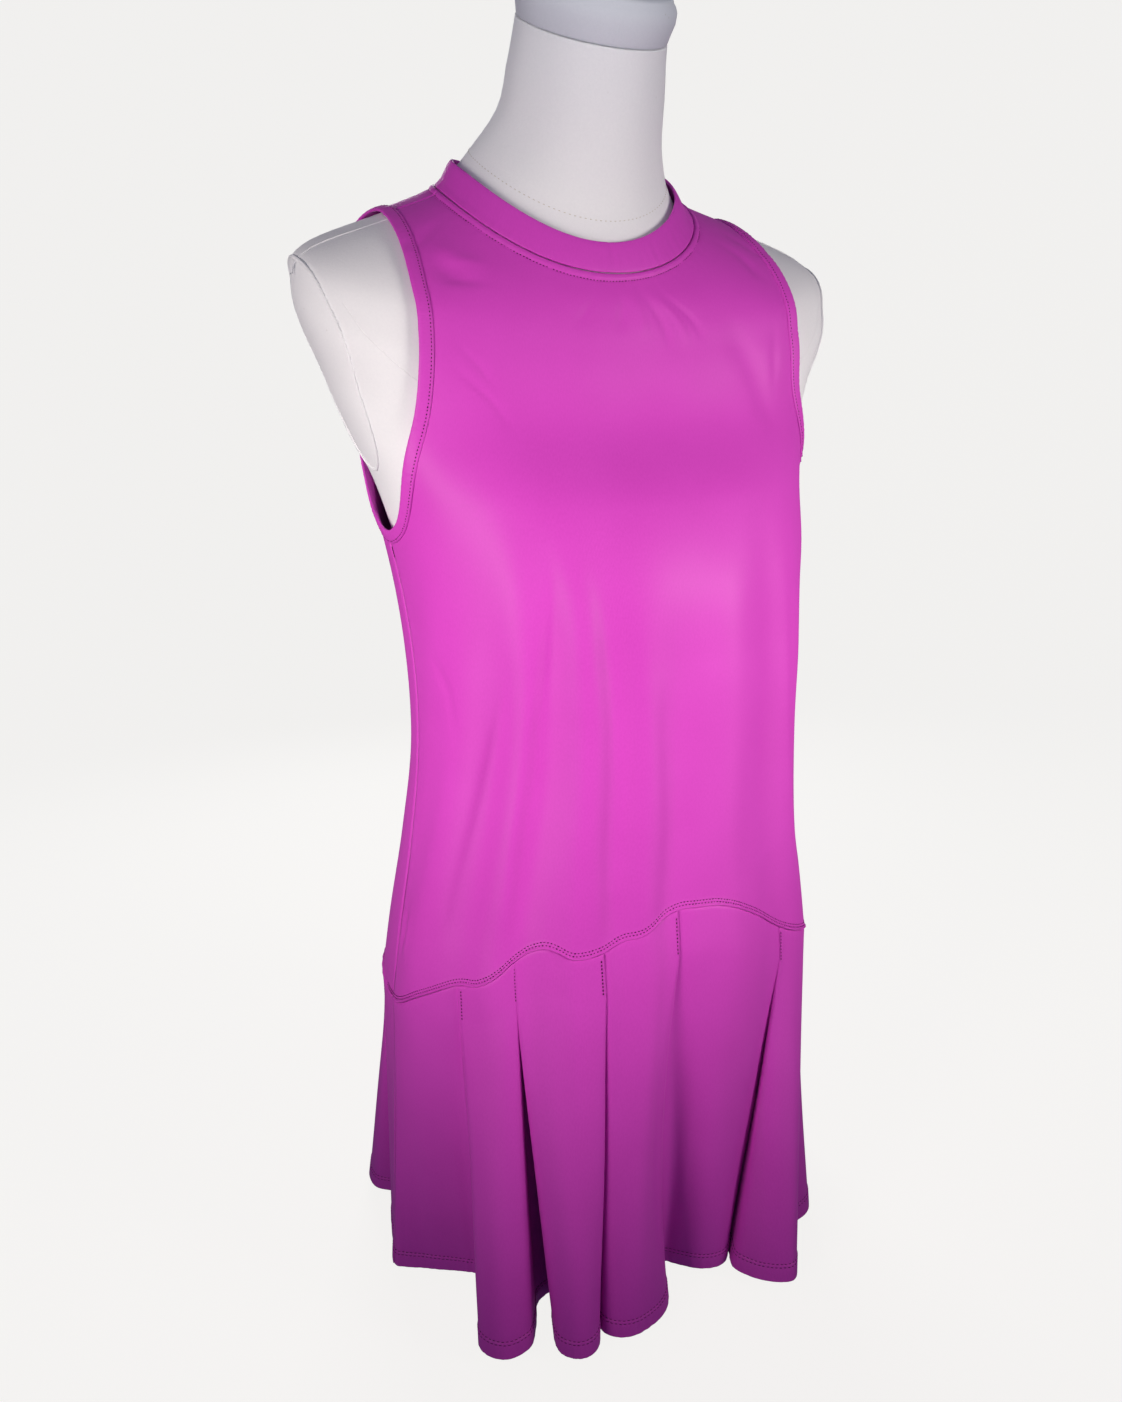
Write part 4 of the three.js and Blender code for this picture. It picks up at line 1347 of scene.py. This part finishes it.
def form_rings():
    """Rings of the whole form from its lower end to the cap's seam, laid flat where an arm
    plate covers them."""
    angle = np.linspace(0, 2 * np.pi, FORM_COLUMNS, endpoint=False)[None]
    height = np.concatenate([
        np.linspace(FORM_BOTTOM, 590, 56), np.linspace(595, 760, 60), np.linspace(762, 783, 10),
    ])[:, None]
    low = form_ring(angle, height)
    low[0, :, 2] = FORM_BOTTOM
    for hand in (-1, 1):
        way, offset = arm_plane(hand)
        beyond = np.maximum(low @ way - (offset - SEAM_GAP / 2), 0) * (height > ARM_LOW)
        low = low - way * beyond[..., None]
    neck = ring_point(NECK_RINGS, angle, np.array(
        [787.5, 792, 796, 800, 805, 811, 818, 826, 835, 844, 853, 860, 862, CAP_SEAM - 0.4])[:, None])
    neck[0] = (low[-1] + neck[1]) / 2
    shut = low[:1].mean(1, keepdims=True)
    base = [shut + (low[:1] - shut) * s for s in (0.25, 0.6, 0.9)]
    for ring in base:
        ring[..., 2] = FORM_BOTTOM
    lid = neck[-1:].mean(1, keepdims=True)
    top = [lid + (neck[-1:] - lid) * s for s in (0.9, 0.5)]
    return np.concatenate([*base, low, neck, *top])


def plate_outline(hand, count=160):
    """Where an arm plate's edge runs on the form, as angles and heights: from a point well
    inside the plate, halving the way out until the form leaves the plane."""
    way, offset = arm_plane(hand)
    phi = np.linspace(0, 2 * np.pi, count, endpoint=False)
    near, far = np.zeros(count), np.full(count, 1.6)
    for _ in range(26):
        reach = (near + far) / 2
        angle = hand * (np.pi / 2 + reach * np.cos(phi))
        height = np.minimum(690 + reach * 110 * np.sin(phi), 783.0)
        inside = (form_ring(angle, height) @ way > offset) & (height > ARM_LOW)
        near, far = np.where(inside, reach, near), np.where(inside, far, reach)
    return phi, near


def plate_grid(hand):
    """Rings of an arm plate: from its middle out to its edge on the rounded face, then back
    to the middle on the flat face."""
    way, offset = arm_plane(hand)
    phi, edge = plate_outline(hand)
    shares = np.sin(np.linspace(0.08, 1, 22) * np.pi / 2)[:, None]
    angle = hand * (np.pi / 2 + shares * edge * np.cos(phi))
    height = 690 + shares * edge * 110 * np.sin(phi)
    face = form_ring(angle, height)
    out = np.maximum(face @ way - offset - SEAM_GAP / 2, 0)
    flat = face - way * out[..., None]
    dome = flat + way * (out * ARM_FLATNESS + 0.9 * (1 - shares ** 8))[..., None]
    return np.concatenate([dome, flat[::-1] - way * 0.1]), face[-1] - way * out[-1, :, None]


def form_line(path, out, count=80):
    """Points over the form along a line of (degrees, height), and their normals."""
    path = np.array(path, float)
    place = np.linspace(0, len(path) - 1, count)
    angle = np.radians(np.interp(place, np.arange(len(path)), path[:, 0]))
    height = np.interp(place, np.arange(len(path)), path[:, 1])
    normal = cloth_normal(angle, height)
    return form_ring(angle, height) + normal * out, normal


class DRESS_OT_form(bpy.types.Operator):
    """Builds the dress form: body, arm plates, neck cap and the seams of its cover."""

    bl_idname = "dress.form"
    bl_label = "Dress form"

    def execute(self, context):
        body = closed_stack("form_body_cover", form_rings())
        dressed(body, "cotton_jersey_cover", ["form_torso"])
        seams = []
        for name, hand in (("right", -1), ("left", 1)):
            grid, edge = plate_grid(hand)
            if hand > 0:
                grid = grid[:, ::-1]
            plate = closed_stack(f"form_arm_plate_{name}_cover", grid[::-1])
            dressed(plate, "cotton_jersey_cover", [f"form_arm_plate_{name}"])
            seams.append(tube(edge, 1.1, True, 10))
        angle = np.linspace(0, 2 * np.pi, FORM_COLUMNS, endpoint=False)[None]
        low = CAP_SEAM + 0.2
        height = np.array([low, low, 863.6, 864.6, 868, 874, 879, 881.5, 883, 884.2, 885.1, 885.7, 886, 886])
        inset = np.array([5, 1.2, 0.5, 0.1, 0, 0, 0, 0.1, 0.4, 0.9, 1.7, 2.8, 5, 20])
        rings = ring_point(NECK_RINGS, angle, np.minimum(height, 883)[:, None])
        middle = rings.mean(1, keepdims=True)
        flat = rings - middle
        size = np.linalg.norm(flat, axis=-1, keepdims=True)
        axis = unit(np.cross(rings[4, 1] - middle[4, 0], rings[4, 40] - middle[4, 0]))
        axis = axis * np.sign(axis[2])
        over = np.maximum(height - 883, 0)[:, None, None]
        rings = middle + flat * (1 - inset[:, None, None] / size) + axis * over
        cap = closed_stack("form_neck_cap_cover", rings)
        # The cap's darker, bluer tone is painted shade of its top face.
        dressed(cap, "cap_jersey_painted_shade", ["form_neck_cap"])
        seams.append(tube(form_line([(0, 783), (0, 775), (0, 760)], -0.15)[0], 0.45))
        for hand in (-1, 1):
            ridge = form_line([(hand * 88, 724), (hand * 88, 742), (hand * 88, 764)], -0.2)[0]
            path = [(62, 722), (52, 700), (40, 660), (34, 630)]
            panel = form_line([(hand * angle, height) for angle, height in path], -0.25)[0]
            seams += [tube(ridge, 0.7), tube(panel, 0.45)]
        piping = joined("form_cover_seams", seams)
        dressed(piping, "cotton_jersey_cover")
        around = np.linspace(0, 2 * np.pi, 400, endpoint=False)
        line = ring_point(NECK_RINGS, around, np.full(400, 792.0))
        normal = unit(line - line.mean(0))
        row = evenly(line + normal * 0.2, normal, 3.4, True)
        dots = stitches("form_neck_stitching", [row], 1.6, 0.5, 0.5)
        dressed(dots, "cover_seam_thread")
        return {"FINISHED"}


class DRESS_OT_stand(bpy.types.Operator):
    """Finishes the stand's pole and base, whose shapes are the frame's own."""

    bl_idname = "dress.stand"
    bl_label = "Stand"

    def execute(self, context):
        for node, material in (("stand_pole", "brushed_stainless"), ("stand_base", "white_powder_coat")):
            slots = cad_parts[node].data.materials
            slots.clear()
            slots.append(material_named(material))
        return {"FINISHED"}


class DRESS_OT_sheets(bpy.types.Operator):
    """Takes no step of its own: it returns at once."""

    bl_idname = "dress.sheets"
    bl_label = "Cuts of the cloth"

    def execute(self, context):
        return {"FINISHED"}


# ---- the stage -----------------------------------------------------------------------
CAMERA_DISTANCE, CAMERA_AZIMUTH, CAMERA_HEIGHT = 0.7826, -26.8, 0.668
CAMERA_PITCH, CAMERA_YAW, CAMERA_ROLL = 17.1, 1.5, -1.2
# Name, azimuth, height, distance, size, power, height aimed at, spread and colour.
LIGHTS = [
    ("left_light", -62, 0.60, 1.10, 0.44, 1.30, 0.47, 51, "#FFF4EC"),
    ("right_light", 36, 0.60, 1.15, 0.44, 1.28, 0.47, 51, "#FFF4EC"),
    ("upper_light", -20, 1.05, 1.00, 0.25, 0.20, 1.00, 24, "#FFFFFF"),
    ("back_light", 165, 0.9, 1.3, 0.8, 7.5, 0.50, 140, "#FFFFFF"),
]
AIR_COLOUR, AIR_STRENGTH = "#D2D6FF", 0.14


def camera_matrix():
    """Camera to world: back, pitched down, turned and rolled from the way to the middle."""
    a, pitch, yaw, roll = np.radians([CAMERA_AZIMUTH, CAMERA_PITCH, CAMERA_YAW, CAMERA_ROLL])
    level = np.array([-math.sin(a), math.cos(a), 0])
    c, s = math.cos(yaw), math.sin(yaw)
    level = np.array([level[0] * c - level[1] * s, level[0] * s + level[1] * c, 0])
    forward = level * math.cos(pitch) - np.array([0, 0, math.sin(pitch)])
    right = unit(np.cross(forward, (0, 0, 1)))
    up = np.cross(right, forward)
    c, s = math.cos(roll), math.sin(roll)
    right, up = right * c + up * s, up * c - right * s
    place = (math.sin(a) * CAMERA_DISTANCE, -math.cos(a) * CAMERA_DISTANCE, CAMERA_HEIGHT)
    matrix = np.eye(4)
    matrix[:3, :3] = np.stack([right, up, -forward], -1)
    matrix[:3, 3] = place
    return Matrix(matrix.tolist())


def area_light(name, azimuth, height, distance, size, power, aim_height, spread, colour):
    """A square soft light at an azimuth round the form, turned to its axis."""
    light = bpy.data.lights.new(name, "AREA")
    light.shape, light.size, light.energy = "SQUARE", size, power
    light.color = linear(colour)[:3]
    light.spread = math.radians(spread)
    lamp = bpy.data.objects.new(name, light)
    bpy.context.scene.collection.objects.link(lamp)
    a = math.radians(azimuth)
    place = np.array([math.sin(a) * distance, -math.cos(a) * distance, height])
    back = unit(place - np.array([0, 0, aim_height]))
    right = unit(np.cross((0, 0, 1), back))
    matrix = np.eye(4)
    matrix[:3, :3] = np.stack([right, np.cross(back, right), back], -1)
    matrix[:3, 3] = place
    lamp.matrix_world = Matrix(matrix.tolist())
    return lamp


class DRESS_OT_stage(bpy.types.Operator):
    """Sets the floor, the lights and the camera."""

    bl_idname = "dress.stage"
    bl_label = "Stage"

    def execute(self, context):
        scene = context.scene
        # a round sweep: flat floor, quarter turn, wall
        around = 96
        turnings = np.linspace(0, np.pi / 2, 24)
        radius = np.concatenate([[150, 900, 1900], 1900 + 1500 * np.sin(turnings), [3400]])
        height = np.concatenate([[0, 0, 0], 1500 - 1500 * np.cos(turnings), [4200]])
        angle = np.linspace(0, 2 * np.pi, around, endpoint=False)[None]
        rings = np.stack([
            radius[:, None] * np.sin(angle), -radius[:, None] * np.cos(angle),
            np.broadcast_to(height[:, None], (len(radius), around)),
        ], -1)
        quads = grid_faces(len(radius), around, True)[0][:, ::-1]
        i = np.arange(around)
        hub = np.full(around, len(radius) * around)
        middle = np.stack([i, (i + 1) % around, hub], -1)
        points = np.concatenate([rings.reshape(-1, 3), [[0, 0, 0]]])
        floor = make_mesh("floor_sweep", points, [quads, middle])
        floor.data.materials.append(material_named("seamless_paper"))
        floor.visible_diffuse = floor.visible_glossy = False
        for light in LIGHTS:
            area_light(*light)
        world = bpy.data.worlds.new("studio_air")
        world.use_nodes = True
        background = world.node_tree.nodes["Background"]
        background.inputs["Color"].default_value = linear(AIR_COLOUR)
        background.inputs["Strength"].default_value = AIR_STRENGTH
        scene.world = world
        scene.view_settings.view_transform = "Standard"  # keeps the jersey's strong colour
        camera = bpy.data.cameras.new("studio_camera")
        camera.sensor_fit, camera.sensor_width = "AUTO", 36.0
        camera.lens = settings()[0].camera_lens
        holder = bpy.data.objects.new("studio_camera", camera)
        scene.collection.objects.link(holder)
        holder.matrix_world = camera_matrix()
        scene.camera = holder
        return {"FINISHED"}


# ---- add-on --------------------------------------------------------------------------
OPERATORS = (
    DRESS_OT_stage, DRESS_OT_bodice, DRESS_OT_skirt, DRESS_OT_neckband, DRESS_OT_bindings,
    DRESS_OT_stitching, DRESS_OT_form, DRESS_OT_stand, DRESS_OT_sheets,
)


class DRESS_PT_panel(bpy.types.Panel):
    """Lists the dress's settings and its pieces."""

    bl_label = "Athletic Dress"
    bl_idname = "DRESS_PT_panel"
    bl_space_type = "VIEW_3D"
    bl_region_type = "UI"
    bl_category = "Dress"

    def draw(self, context):
        for group in settings():
            for name in group.__annotations__:
                self.layout.prop(group, name)
        for operator in OPERATORS:
            self.layout.operator(operator.bl_idname)


CLASSES = (DressSizes, DressColours, *OPERATORS, DRESS_PT_panel)


def register():
    for each in CLASSES:
        bpy.utils.register_class(each)
    bpy.types.Scene.dress_sizes = bpy.props.PointerProperty(type=DressSizes)
    bpy.types.Scene.dress_colours = bpy.props.PointerProperty(type=DressColours)


def unregister():
    del bpy.types.Scene.dress_colours
    del bpy.types.Scene.dress_sizes
    for each in reversed(CLASSES):
        bpy.utils.unregister_class(each)


def main():
    """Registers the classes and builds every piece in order."""
    register()
    for operator in OPERATORS:
        getattr(bpy.ops.dress, operator.bl_idname.split(".")[1])()


if __name__ == "__main__":
    main()
